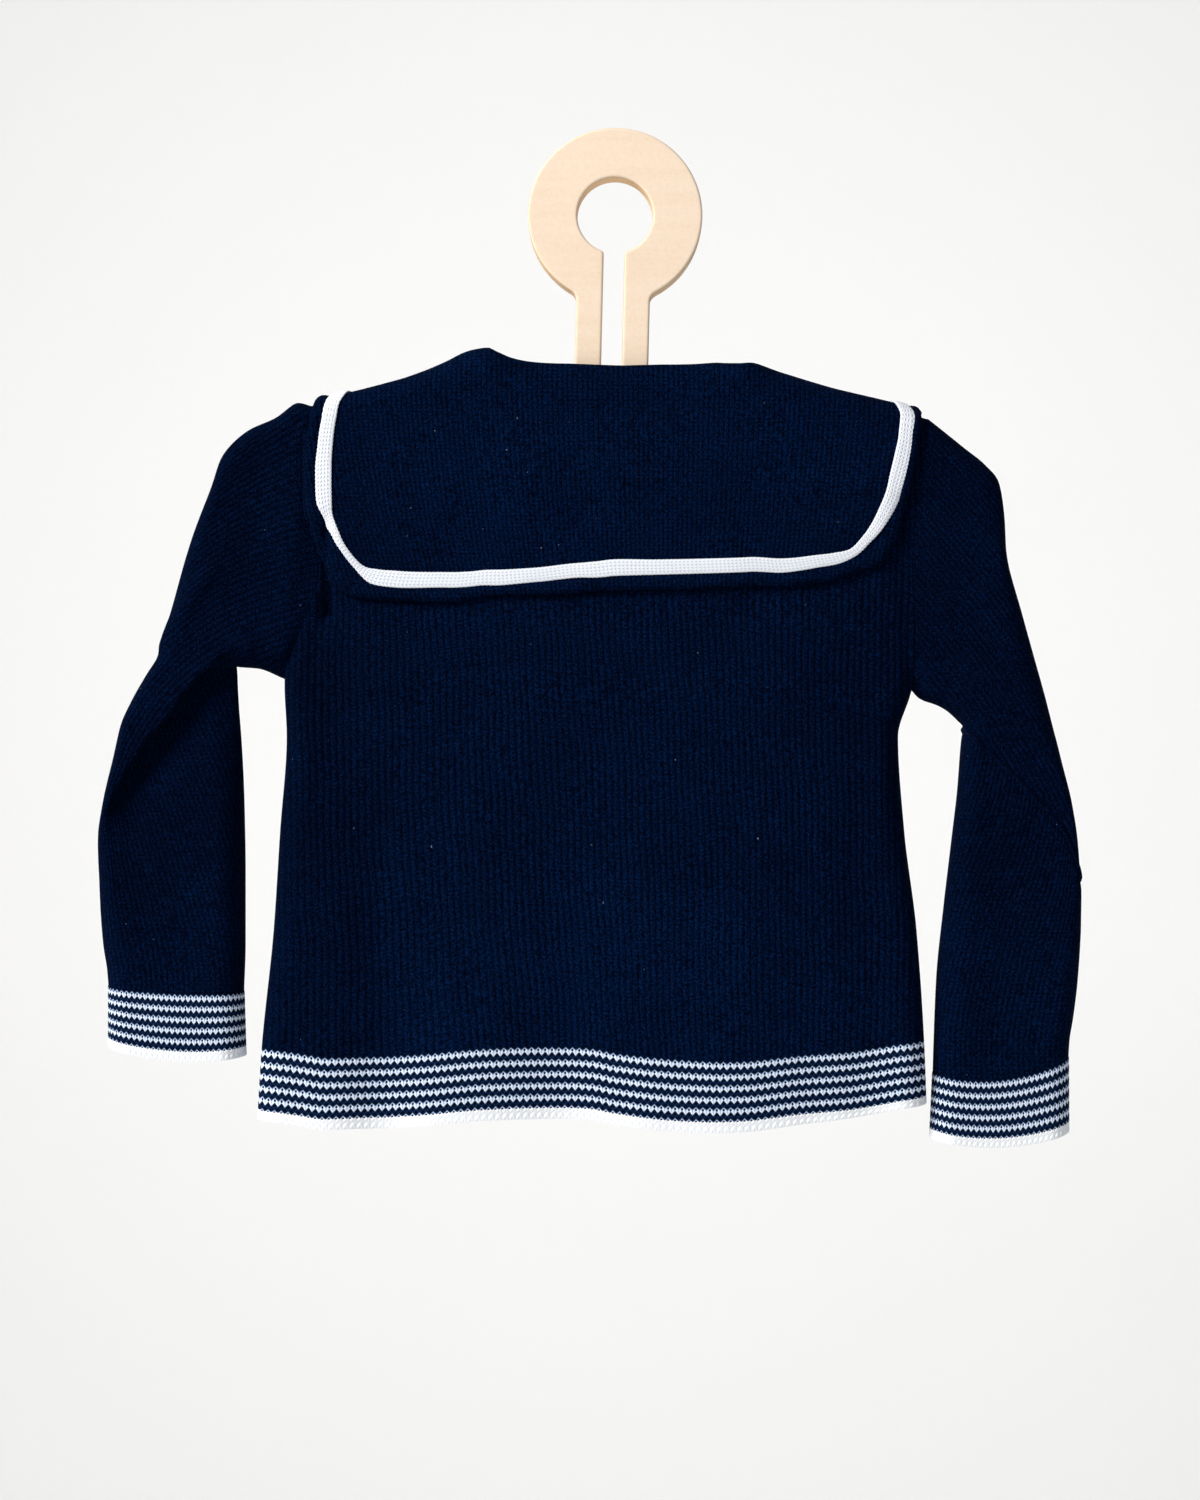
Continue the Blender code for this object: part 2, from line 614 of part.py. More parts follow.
def build_sleeve(side_name, rings, cuff_end, edge_u, sag):
    """One sleeve, its striped cuff and the cuff's white edge."""
    count = 2 * SLEEVE_RIBS
    outwards = 2 * edge_u - 1
    first = armhole_ring(count, edge_u, outwards * ARMHOLE_GAP)
    sleeve = [first] + [ring_curve(ring, count, straight) for ring in rings[1:]]
    tube_wall("sleeve_" + side_name, sleeve, NAVY, True, COARSE_STEP, upright_start=True)
    gap = SEAM_GAP / abs(cuff_end.out_z - rings[-1].out_z)

    def cuff_rings(shares):
        return [ring_curve(between(rings[-1], cuff_end, share), CUFF_POINTS, sagging(sag * share))
                for share in shares]
    band_end = 1 - CUFF_EDGE_SHARE
    tube_wall("cuff_" + side_name, cuff_rings([gap, 0.5, band_end]), STRIPED, False, 1)
    tube_wall("cuff_edge_" + side_name, cuff_rings([band_end + gap, 1]), WHITE, False, 1)


# ======== collar ========

def neck_seam(side):
    """Middle of the panel's wall along its top edge, which the collar is sewn to;
    at the ends of the neck it is the top of the shoulder."""
    u = np.array(coarse_columns(RIB_COLUMNS, COARSE_STEP, NECK_COLUMNS)) / RIB_COLUMNS
    v = np.zeros(len(u))
    level = panel_normal(u, v, side) * (1, 1, 0)
    return panel_point(u, v, side) - WALL / 2 * level


def collar_middle(ray, shift):
    """Points of the collar's middle layer along one ray, from the neck to its edge."""
    inwards = np.array([0.0, 0.0, 1.0])
    share = neck_share(ray.neck_x)
    if ray.side == FRONT:
        # square to the V's edge near its middle, upright at its tip and at the neck
        lean = -1.3 * np.sign(share) * min(1, 4 * abs(share)) * (1 - abs(share) ** 12)
        inwards = unit(np.array([lean, 0.0, 1.0]))
    start_cloth = -ray.side * cloth_of(neck_drop(ray.neck_x, ray.side))
    seam = neck_seam(ray.side)
    base = np.array([np.interp(ray.neck_x, seam[:, 0], seam[:, k]) for k in range(3)])
    base[0] += shift
    turned = pi / 2 * abs(share) ** 8
    out = np.array([np.sign(share) * sin(turned), ray.side * cos(turned), 0.0])
    stand_foot = base + inwards * (SEAM_GAP + 0.2)
    stand_top = base + inwards * ray.stand
    points = [stand_foot]
    for turn in (0, 60, 120, 180):
        roll = ROLL_RADIUS * (out * (1 - cos(radians(turn))) + inwards * sin(radians(turn)))
        points.append(stand_top + roll)
    edge_cloth = -ray.side * cloth_of(max(shoulder_height(ray.edge_x) - ray.edge_z, 0))
    lift = COLLAR_LIFT + COLLAR_WALL / 2
    for share_out, loft in COLLAR_STEPS:
        x = ray.neck_x + (ray.edge_x - ray.neck_x) * share_out + shift
        cloth = start_cloth + (edge_cloth - start_cloth) * share_out
        points.append(over_body(x, cloth, lift + loft))
    return np.array([np.asarray(p, float).reshape(3) for p in points])


def sheet_normals(grid):
    """Normals of a grid of points, from its own neighbours."""
    across = np.gradient(grid, axis=0)
    along = np.gradient(grid, axis=1)
    return unit(np.cross(across, along))


def sheet_wall(name, middle, thickness, look):
    """A closed wall round a middle layer of rows x columns points."""
    mesh = WallMesh()
    normals = sheet_normals(middle)
    outer = mesh.add_grid(middle + normals * thickness / 2)
    inner = mesh.add_grid(middle - normals * thickness / 2)
    mesh.fill(outer)
    mesh.fill(inner)
    for edge in (np.s_[0, :], np.s_[-1, :], np.s_[:, 0], np.s_[:, -1]):
        mesh.fill(np.stack([outer[edge], inner[edge]]))
    return add_object(name, mesh.points, mesh.faces, look)


def build_collar():
    shifts = np.zeros(len(COLLAR_RAYS))
    shifts[0], shifts[-1] = -LAPEL_GAP, LAPEL_GAP
    middle = np.array([collar_middle(ray, shift) for ray, shift in zip(COLLAR_RAYS, shifts)])
    sheet_wall("collar", middle, COLLAR_WALL, NAVY)


def build_trim():
    """The braid: the collar's edge moved inwards, laid on the collar."""
    edge_x = column(COLLAR_RAYS, "edge_x")
    drops = np.maximum(shoulder_height(edge_x) - column(COLLAR_RAYS, "edge_z"), 0)
    edge_cloth = -column(COLLAR_RAYS, "side") * cloth_of(drops)
    outline = np.stack([edge_x, edge_cloth], axis=1)
    along = np.concatenate([[0], np.cumsum(np.linalg.norm(np.diff(outline, axis=0), axis=1))])
    # denser where the braid turns over the shoulders and at the corners
    fine = np.linspace(0, along[-1], 1200)
    path = np.stack([smooth(fine, along, outline[:, k]) for k in range(2)], axis=1)
    weight = 1 + 4 * (np.abs(path[:, 1]) < 17)
    travel = np.concatenate([[0], np.cumsum(weight[1:])])
    chosen = np.interp(np.linspace(0, travel[-1], 64), travel, fine)
    path = np.stack([smooth(chosen, along, outline[:, k]) for k in range(2)], axis=1)
    ahead = np.stack([smooth(chosen + 5, along, outline[:, k]) for k in range(2)], axis=1)
    behind = np.stack([smooth(chosen - 5, along, outline[:, k]) for k in range(2)], axis=1)
    direction = unit(ahead - behind)
    inwards = np.stack([-direction[:, 1], direction[:, 0]], axis=1)
    centre = np.array([np.mean(edge_x), 0.0])
    if np.sum(inwards * (centre - path)) < 0:
        inwards = -inwards
    lift = COLLAR_LIFT + COLLAR_WALL + TRIM_GAP + TRIM_WALL / 2
    rows = []
    for inset in (TRIM_INSET, TRIM_INSET + TRIM_WIDTH / 2, TRIM_INSET + TRIM_WIDTH):
        line = path + inwards * inset
        # the two ends stop short of the middle of the front
        at_front = (line[:, 1] < 0) & (np.abs(path[:, 0] - COLLAR_RAYS[0].edge_x) < 30)
        middle_x = COLLAR_RAYS[0].edge_x
        half = np.arange(len(line)) < len(line) / 2
        line[:, 0] = np.where(at_front & half, np.minimum(line[:, 0], middle_x - 0.6), line[:, 0])
        line[:, 0] = np.where(at_front & ~half, np.maximum(line[:, 0], middle_x + 0.6), line[:, 0])
        rows.append(over_body(line[:, 0], line[:, 1], lift))
    middle = np.stack(rows, axis=1)
    sheet_wall("collar_trim", middle, TRIM_WALL, WHITE)


# ======== hanger ========

def arc(centre_x, centre_z, radius, start, end, count):
    turns = np.linspace(radians(start), radians(end), count)
    return [(centre_x + radius * cos(a), centre_z + radius * sin(a)) for a in turns]


def fillet_angles(radius, half_width, fillet):
    """Height of a fillet's centre below a circle's, and its direction there."""
    height = sqrt((radius + fillet) ** 2 - (half_width + fillet) ** 2)
    return height, np.degrees(asin((half_width + fillet) / (radius + fillet)))


def arm_line(x):
    return ARM_CREST - x ** 2 / (2 * ARM_SAG_RADIUS)


def hanger_outline():
    """Half the outline from the ring's top to the middle of the lower edge, mirrored."""
    height, lean = fillet_angles(RING_RADIUS, STEM_HALF_WIDTH, STEM_FILLET)
    right = arc(0, 0, RING_RADIUS, 90, -90 + lean, 14)
    right += arc(STEM_HALF_WIDTH + STEM_FILLET, -height, STEM_FILLET, 90 + lean, 180, 4)[1:]
    root = STEM_HALF_WIDTH + STEM_FILLET
    right.append((STEM_HALF_WIDTH, arm_line(root) + STEM_FILLET))
    right.append((STEM_HALF_WIDTH + 1.6, arm_line(root) + 1.6))
    tip = ARM_HEIGHT / 2
    for x in np.linspace(root, ARM_HALF_SPAN - tip, 8):
        right.append((float(x), float(arm_line(x))))
    tip_x = ARM_HALF_SPAN - tip
    slope = np.degrees(-tip_x / ARM_SAG_RADIUS)
    centre_z = float(arm_line(tip_x)) - tip
    right += arc(tip_x, centre_z, tip, 60 + slope, -60 + slope, 5)
    for x in np.linspace(tip_x - 5, 0, 8):
        right.append((float(x), float(arm_line(x)) - ARM_HEIGHT))
    left = [(-x, z) for x, z in reversed(right[1:-1])]
    return right + left


def keyhole_outline():
    height, lean = fillet_angles(HOLE_RADIUS, SLOT_HALF_WIDTH, SLOT_FILLET)
    right = arc(0, 0, HOLE_RADIUS, 90, -90 + lean, 10)
    right += arc(SLOT_HALF_WIDTH + SLOT_FILLET, -height, SLOT_FILLET, 90 + lean, 180, 3)[1:]
    right += arc(0, SLOT_HALF_WIDTH - SLOT_LENGTH, SLOT_HALF_WIDTH, 0, -90, 4)
    left = [(-x, z) for x, z in reversed(right[1:-1])]
    return right + left


def build_hanger():
    """Both outlines filled between them, then the plate's other face and its edges."""
    outlines = []
    for outline in (hanger_outline(), keyhole_outline()):
        turned = [(x * cos(HANGER_TILT) + z * sin(HANGER_TILT),
                   z * cos(HANGER_TILT) - x * sin(HANGER_TILT) - HOLE_RADIUS) for x, z in outline]
        outlines.append(turned)
    flat = tessellate_polygon([[Vector((x, z, 0)) for x, z in line] for line in outlines])
    points = [(x, -PLY / 2, z) for line in outlines for x, z in line]
    count = len(points)
    points += [(x, PLY / 2, z) for x, _, z in points]
    faces = [tuple(face) for face in flat]
    faces += [tuple(i + count for i in reversed(face)) for face in flat]
    first = 0
    for line in outlines:
        for k in range(len(line)):
            a, b = first + k, first + (k + 1) % len(line)
            faces.append((a, b, b + count, a + count))
        first += len(line)
    add_object("hanger", points, faces, PLYWOOD)


# ======== materials and assembly ========

def material(name, colour, roughness):
    look = bpy.data.materials.new(name)
    look.use_nodes = True
    shader = look.node_tree.nodes["Principled BSDF"]
    shader.inputs["Base Color"].default_value = (*colour, 1)
    shader.inputs["Roughness"].default_value = roughness
    shader.inputs["Metallic"].default_value = 0.0
    look.diffuse_color = (*colour, 1)
    return look


for old in list(bpy.data.objects):
    bpy.data.objects.remove(old, do_unlink=True)

NAVY = material("navy knit", (0.004, 0.012, 0.045), 0.9)
WHITE = material("white knit", (0.80, 0.84, 0.90), 0.9)
STRIPED = material("navy and white stripes", (0.25, 0.29, 0.38), 0.9)
PLYWOOD = material("birch plywood", (0.86, 0.66, 0.45), 0.55)

build_hanger()
coarse = coarse_columns(RIB_COLUMNS, COARSE_STEP, NECK_COLUMNS)
few = coarse_columns(BAND_COLUMNS, 2)
for side, side_name, ribs_from in ((BACK, "back", 4), (FRONT, "front", 2)):
    panel_wall(side_name + "_panel", side, PANEL_ROWS, RIB_COLUMNS, coarse, ribs_from, NAVY)
    band = [1 + SEAM_GAP, 1 + BAND_HEIGHT / 2, 1 + BAND_HEIGHT]
    edge = [1 + BAND_HEIGHT + SEAM_GAP, 1 + BAND_HEIGHT + EDGE_HEIGHT]
    panel_wall("hem_band_" + side_name, side, band, BAND_COLUMNS, few, None, STRIPED)
    panel_wall("hem_edge_" + side_name, side, edge, BAND_COLUMNS, few, None, WHITE)
build_sleeve("left", SLEEVE_LEFT_RINGS, CUFF_LEFT_END, 0, 3.5)
build_sleeve("right", SLEEVE_RIGHT_RINGS, CUFF_RIGHT_END, 1, 3.0)
build_collar()
build_trim()
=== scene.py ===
from math import asin, cos, degrees, pi, radians, sin, sqrt

import bpy
import numpy as np
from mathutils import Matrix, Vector
from mathutils.geometry import tessellate_polygon


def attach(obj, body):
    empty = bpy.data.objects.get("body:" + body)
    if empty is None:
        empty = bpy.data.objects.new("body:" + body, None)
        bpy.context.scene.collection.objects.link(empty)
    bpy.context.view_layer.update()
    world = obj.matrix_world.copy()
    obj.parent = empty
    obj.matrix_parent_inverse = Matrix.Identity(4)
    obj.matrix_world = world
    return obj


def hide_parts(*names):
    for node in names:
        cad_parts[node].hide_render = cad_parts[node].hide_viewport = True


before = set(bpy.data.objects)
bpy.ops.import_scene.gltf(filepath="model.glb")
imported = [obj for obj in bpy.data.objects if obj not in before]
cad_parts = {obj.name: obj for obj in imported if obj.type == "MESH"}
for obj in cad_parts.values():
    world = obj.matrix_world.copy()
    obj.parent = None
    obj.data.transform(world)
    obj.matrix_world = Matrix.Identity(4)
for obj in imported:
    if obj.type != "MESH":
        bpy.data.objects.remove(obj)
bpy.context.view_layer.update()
mm = 0.001
back, front = -1, 1
print("frame loaded with", len(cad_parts), "nodes")


# Curves and heights

# Cubic through the points xs, ys whose slope is 0 where a run of them turns.
def smoothCurve(x, xs, ys):
    xs = np.asarray(xs, float)
    ys = np.asarray(ys, float)
    step = np.diff(xs)
    slope = np.diff(ys) / step
    before, after = slope[:-1], slope[1:]
    safe = np.where(before * after > 0, before + after, 1.0)
    middle = np.where(before * after > 0, 2 * before * after / safe, 0.0)
    tangent = np.concatenate([slope[:1], middle, slope[-1:]])
    x = np.clip(np.asarray(x, float), xs[0], xs[-1])
    i = np.clip(np.searchsorted(xs, x, side="right") - 1, 0, len(step) - 1)
    t = (x - xs[i]) / step[i]
    return ((1 + 2 * t) * (1 - t) ** 2 * ys[i] + t * (1 - t) ** 2 * step[i] * tangent[i]
            + t ** 2 * (3 - 2 * t) * ys[i + 1] + t ** 2 * (t - 1) * step[i] * tangent[i + 1])


# Every column of a table as such a curve through its rows, at places between them.
def smoothTable(places, table):
    index = np.arange(len(table))
    return np.stack([smoothCurve(places, index, column) for column in table.T], axis=1)


# Length along a curve from its first point to each of its points.
def lengthAlong(curve):
    return np.concatenate([[0], np.cumsum(np.linalg.norm(np.diff(curve, axis=0), axis=1))])


# Slow start and slow end between 0 and 1.
def ease(t):
    t = np.clip(t, 0, 1)
    return t * t * (3 - 2 * t)


# Height, 0 to 1, of a quarter circle at a distance from its rim.
def quarterRound(distance, radius):
    inward = 1 - np.clip(distance / radius, 0, 1)
    return np.sqrt(np.clip(1 - inward ** 2, 0, 1))


def unit(vectors):
    length = np.linalg.norm(vectors, axis=-1, keepdims=True)
    return vectors / np.maximum(length, 1e-9)


# Sum of soft ridges: height * exp(-(distance to the segment / width)^2).
# Each crease is x0, z0, x1, z1, width, height; a height below 0 is a trough.
def creaseHeight(x, z, creases):
    total = np.zeros(np.broadcast(x, z).shape)
    for x0, z0, x1, z1, width, height in creases:
        along = np.array([x1 - x0, z1 - z0], float)
        length = np.linalg.norm(along)
        along /= length
        t = np.clip((x - x0) * along[0] + (z - z0) * along[1], 0, length)
        distance = np.hypot(x - x0 - t * along[0], z - z0 - t * along[1])
        total += height * np.exp(-(distance / width) ** 2)
    return total


# Meshes

# Normals of a grid from its own neighbours; wrap joins its last column to its first.
def gridNormals(grid, wrap=False):
    if wrap:
        grid = np.concatenate([grid[:, -2:], grid, grid[:, :2]], axis=1)
    normals = unit(np.cross(np.gradient(grid, axis=1), np.gradient(grid, axis=0)))
    return normals[:, 2:-2] if wrap else normals


# Corner numbers of the quads of a rows x columns grid, as rows of four.
def gridQuads(ids, wrap):
    if wrap:
        ids = np.concatenate([ids, ids[:, :1]], axis=1)
    quads = np.stack([ids[:-1, :-1], ids[:-1, 1:], ids[1:, 1:], ids[1:, :-1]], axis=-1)
    return quads.reshape(-1, 4)


# One face for each coarse step of a rim: the fine points along it, then two coarse ones.
def rimFaces(fine, coarse):
    step = (len(fine) - 1) // (len(coarse) - 1)
    starts = np.arange(len(coarse) - 1) * step
    run = fine[starts[:, None] + np.arange(step + 1)[None, :]]
    return np.concatenate([run, coarse[1:, None], coarse[:-1, None]], axis=1)


def addPiece(name, points, faces, cornerUv, look, sharp=75):
    mesh = bpy.data.meshes.new(name)
    mesh.from_pydata((points * mm).tolist(), [], faces)
    layer = mesh.uv_layers.new(name="stitch")
    layer.data.foreach_set("uv", np.asarray(cornerUv, np.float32).ravel())
    mesh.materials.append(look)
    mesh.update()
    mesh.shade_smooth()
    mesh.set_sharp_from_angle(angle=radians(sharp))
    piece = bpy.data.objects.new(name, mesh)
    bpy.context.scene.collection.objects.link(piece)
    return piece


# A closed shell: the grid raised by its relief, the plain grid moved in by the cloth's
# thickness on every few rows and columns, and rims between the two. centre is a point
# inside, which tells out from in. stitch holds rib and row counts for each point, with
# one more column than a wrapped grid; lower takes over from the row of faces splitRow.
# keepSide holds the whole shell on one side of the middle plane.
def addShell(name, plain, relief, thickness, every, stitch, look, centre,
             wrap=False, lower=None, splitRow=0, keepSide=None):
    normals = gridNormals(plain, wrap)
    facing = 1 if np.sum(normals * (plain - centre)) > 0 else -1
    normals = normals * facing
    outer = plain + normals * np.broadcast_to(relief, plain.shape[:2])[..., None]
    inner = (plain - thickness * normals)[::every[0], ::every[1]]
    if keepSide is not None:
        for grid in (outer, inner):
            grid[..., 1] = keepSide * np.maximum(keepSide * grid[..., 1], 0.05)
    outerIds = np.arange(outer.shape[0] * outer.shape[1]).reshape(outer.shape[:2])
    innerIds = np.arange(inner.shape[0] * inner.shape[1]).reshape(inner.shape[:2]) + outerIds.size
    groups = [gridQuads(outerIds, wrap), gridQuads(innerIds, wrap)[:, ::-1]]
    for row in (0, -1):
        fine, coarse = outerIds[row], innerIds[row]
        if wrap:
            fine, coarse = np.append(fine, fine[0]), np.append(coarse, coarse[0])
        groups.append(rimFaces(fine, coarse)[:, ::1 if row else -1])
    if not wrap:
        for column in (0, -1):
            faces = rimFaces(outerIds[:, column], innerIds[:, column])
            groups.append(faces[:, ::-1 if column else 1])
    seen = stitch[:, :outer.shape[1]]
    pointUv = np.concatenate([seen.reshape(-1, 2),
                              seen[::every[0], ::every[1]].reshape(-1, 2)])
    corners = gridQuads(np.arange(stitch.shape[0] * stitch.shape[1]).reshape(stitch.shape[:2]),
                        False)
    outerUv = stitch.reshape(-1, 2)[corners]
    if lower is not None:
        below = np.arange(len(corners)) // (stitch.shape[1] - 1) >= splitRow
        outerUv = np.where(below[:, None, None], lower.reshape(-1, 2)[corners], outerUv)
    if facing < 0:
        groups = [group[:, ::-1] for group in groups]
        outerUv = outerUv[:, ::-1]
    cornerUv = [outerUv.reshape(-1, 2)] + [pointUv[group].reshape(-1, 2) for group in groups[1:]]
    faces = [face for group in groups for face in group.tolist()]
    points = np.concatenate([outer.reshape(-1, 3), inner.reshape(-1, 3)])
    return addPiece(name, points, faces, np.concatenate(cornerUv), look)


def dress(piece, nodes):
    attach(piece, "root")
    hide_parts(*nodes)


# Materials

knit = {
    # navyGrooveShade is painted shade in the grooves and between stitches; navyRib and navyLoopLit are
    # the lit yarn
    "navyGrooveShade": (0.00005, 0.0006, 0.0036),
    "navyRib": (0.0010, 0.0092, 0.0425),
    "navyStripe": (0.0016, 0.0080, 0.0330),
    "navyLoopLit": (0.008, 0.026, 0.085),
    "lint": (0.16, 0.20, 0.30),
    "white": (0.784, 0.805, 0.860),
    "whiteShade": (0.40, 0.44, 0.51),
    "stripeWhite": (0.72, 0.80, 0.94),
    "stripeShade": (0.15, 0.26, 0.50),
    "edgeWhite": (0.850, 0.868, 0.902),
    "roughness": 0.86,
    "specular": 0.008,
    "sheen": 0.003,
    "sheenRoughness": 0.4,
    # metres where the painted shade at the sides and the painted light low down start, where they are
    # full, and how strong they are
    "leftPaintedShade": (-0.085, -0.140, 0.32),
    "rightPaintedShade": (0.085, 0.135, 0.24),
    "lowPaintedLight": (-0.30, -0.38, 0.35),
}


# A number in a node tree: plain arithmetic with it adds the maths nodes.
class Number:
    def __init__(self, look, socket):
        self.look = look
        self.socket = socket

    def __add__(self, other):
        return self.look.maths("ADD", self, other)

    def __sub__(self, other):
        return self.look.maths("SUBTRACT", self, other)

    def __rsub__(self, other):
        return self.look.maths("SUBTRACT", other, self)

    def __mul__(self, other):
        return self.look.maths("MULTIPLY", self, other)

    def __truediv__(self, other):
        return self.look.maths("DIVIDE", self, other)

    def __pow__(self, other):
        return self.look.maths("POWER", self, other)

    def __gt__(self, other):
        return self.look.maths("GREATER_THAN", self, other)

    def __abs__(self):
        return self.look.maths("ABSOLUTE", self)

    __radd__ = __add__
    __rmul__ = __mul__


# A material with short calls for its nodes.
class Looks:
    def __init__(self, name, colour):
        self.material = bpy.data.materials.new(name)
        self.material.use_nodes = True
        self.material.diffuse_color = (*colour, 1)
        self.tree = self.material.node_tree
        self.shader = self.tree.nodes["Principled BSDF"]

    def node(self, kind, **values):
        made = self.tree.nodes.new(kind)
        for name, value in values.items():
            setattr(made, name, value)
        return made

    def feed(self, socket, value):
        if isinstance(value, Number):
            value = value.socket
        if isinstance(value, bpy.types.NodeSocket):
            self.tree.links.new(value, socket)
        else:
            socket.default_value = value

    def maths(self, operation, *values):
        made = self.node("ShaderNodeMath", operation=operation)
        for socket, value in zip(made.inputs, values):
            self.feed(socket, value)
        return Number(self, made.outputs[0])

    # 0 to 1, slow at both ends, while the value goes from low to high
    def span(self, value, low, high):
        made = self.node("ShaderNodeMapRange", interpolation_type="SMOOTHSTEP", clamp=True)
        self.feed(made.inputs["Value"], value)
        made.inputs["From Min"].default_value = low
        made.inputs["From Max"].default_value = high
        return Number(self, made.outputs["Result"])

    def larger(self, first, second):
        return self.maths("MAXIMUM", first, second)

    def mix(self, share, first, second):
        made = self.node("ShaderNodeMix", data_type="RGBA")
        self.feed(made.inputs["Factor"], share)
        colours = [socket for socket in made.inputs if socket.type == "RGBA"]
        for socket, value in zip(colours, (first, second)):
            self.feed(socket, value if isinstance(value, bpy.types.NodeSocket) else (*value, 1))
        return [socket for socket in made.outputs if socket.type == "RGBA"][0]

    def noise(self, vector, scale, detail, roughness=0.5):
        made = self.node("ShaderNodeTexNoise")
        self.feed(made.inputs["Vector"], vector)
        made.inputs["Scale"].default_value = scale
        made.inputs["Detail"].default_value = detail
        made.inputs["Roughness"].default_value = roughness
        return Number(self, made.outputs[0])

    def bump(self, height, strength, distance):
        made = self.node("ShaderNodeBump")
        made.inputs["Strength"].default_value = strength
        made.inputs["Distance"].default_value = distance
        self.feed(made.inputs["Height"], height)
        self.feed(self.shader.inputs["Normal"], made.outputs[0])

    def axes(self, vector):
        split = self.node("ShaderNodeSeparateXYZ")
        self.feed(split.inputs[0], vector)
        return [Number(self, socket) for socket in split.outputs]

    # u counts ribs and v counts rows of stitches
    def stitchPlaces(self):
        return self.axes(self.node("ShaderNodeUVMap", uv_map="stitch").outputs[0])[:2]

    def objectPlaces(self):
        return self.node("ShaderNodeTexCoord").outputs["Object"]

    # 0 in the middle of a rib, 1 in the groove between two ribs
    def acrossRib(self, u):
        return abs(self.maths("FRACT", u) - 0.5) * 2.0

    # |sin| of the row count, led by the place across the rib, so each row is a V
    def stitchLegs(self, v, across, lean):
        return abs(self.maths("SINE", (v + across * lean) * pi))

    def finishCloth(self, colour):
        self.feed(self.shader.inputs["Base Color"], colour)
        self.shader.inputs["Roughness"].default_value = knit["roughness"]
        self.shader.inputs["Specular IOR Level"].default_value = knit["specular"]
        self.shader.inputs["Sheen Weight"].default_value = knit["sheen"]
        self.shader.inputs["Sheen Roughness"].default_value = knit["sheenRoughness"]


# Ribbed navy cloth: ribs of fuzzy V stitches with uneven painted shade in the grooves between them and
# between the rows, faint wear and lint.
# It has painted shade towards the sides and on the sleeves, and painted light low down.
def navyLook(name, ribBump, legBump, depth):
    look = Looks(name, knit["navyRib"])
    u, v = look.stitchPlaces()
    places = look.objectPlaces()
    x, _, z = look.axes(places)
    stray = (look.noise(places, 700, 1) - 0.5) * 0.34
    across = look.acrossRib(u + stray)
    legs = look.stitchLegs(v + stray, across, 0.55)
    rib = 1 - across ** 2.6
    fluff = look.span(look.noise(places, 1020, 2, 0.6), 0.37, 0.65)
    wear = look.noise(places, 26, 3)
    shade = look.span(look.noise(places, 90, 2), 0.2, 0.8) * 0.55 + 0.15
    light = (shade + (1 - shade) * rib) * (0.50 + legs * 0.50)
    light = light * (0.20 + fluff * 1.10) * (0.60 + wear * 0.80)
    # painted shade darkens the navy towards both sides and over the sleeves; painted light makes it
    # paler low down
    left, right, low = (look.span(along, start, stop) * change for along, (start, stop, change) in (
        (x, knit["leftPaintedShade"]), (x, knit["rightPaintedShade"]), (z, knit["lowPaintedLight"])))
    light = light * ((1 - left - right) * (1 + low) * depth)
    # the dark end is painted shade in the grooves between ribs and between the stitch rows
    colour = look.mix(light, knit["navyGrooveShade"], knit["navyRib"])
    lint = look.span(look.noise(places, 640, 0), 0.912, 0.918)
    colour = look.mix(lint * 0.55, colour, knit["lint"])
    look.bump(rib * ribBump + legs * rib * legBump + fluff * 0.55, 1.0, 0.00032)
    look.finishCloth(colour)
    return look.material


# White cloth of fine V stitches, with a small dark hole at the foot of each.
def whiteLook(name):
    look = Looks(name, knit["white"])
    u, v = look.stitchPlaces()
    across = look.acrossRib(u)
    legs = look.stitchLegs(v, across, 0.6)
    rib = 1 - across ** 3.0
    fluff = look.noise(look.objectPlaces(), 1500, 2)
    foot = 1 - look.span(legs + (1 - across) * 1.1, 0.2, 0.95)
    light = 0.78 + rib * (0.55 + legs * 0.45) * 0.24
    light = light * (1 - foot * 0.8) * (0.80 + fluff * 0.40)
    look.bump(rib * 0.5 + legs * 0.6 + fluff * 0.4, 0.9, 0.0003)
    look.finishCloth(look.mix(light, knit["whiteShade"], knit["white"]))
    return look.material


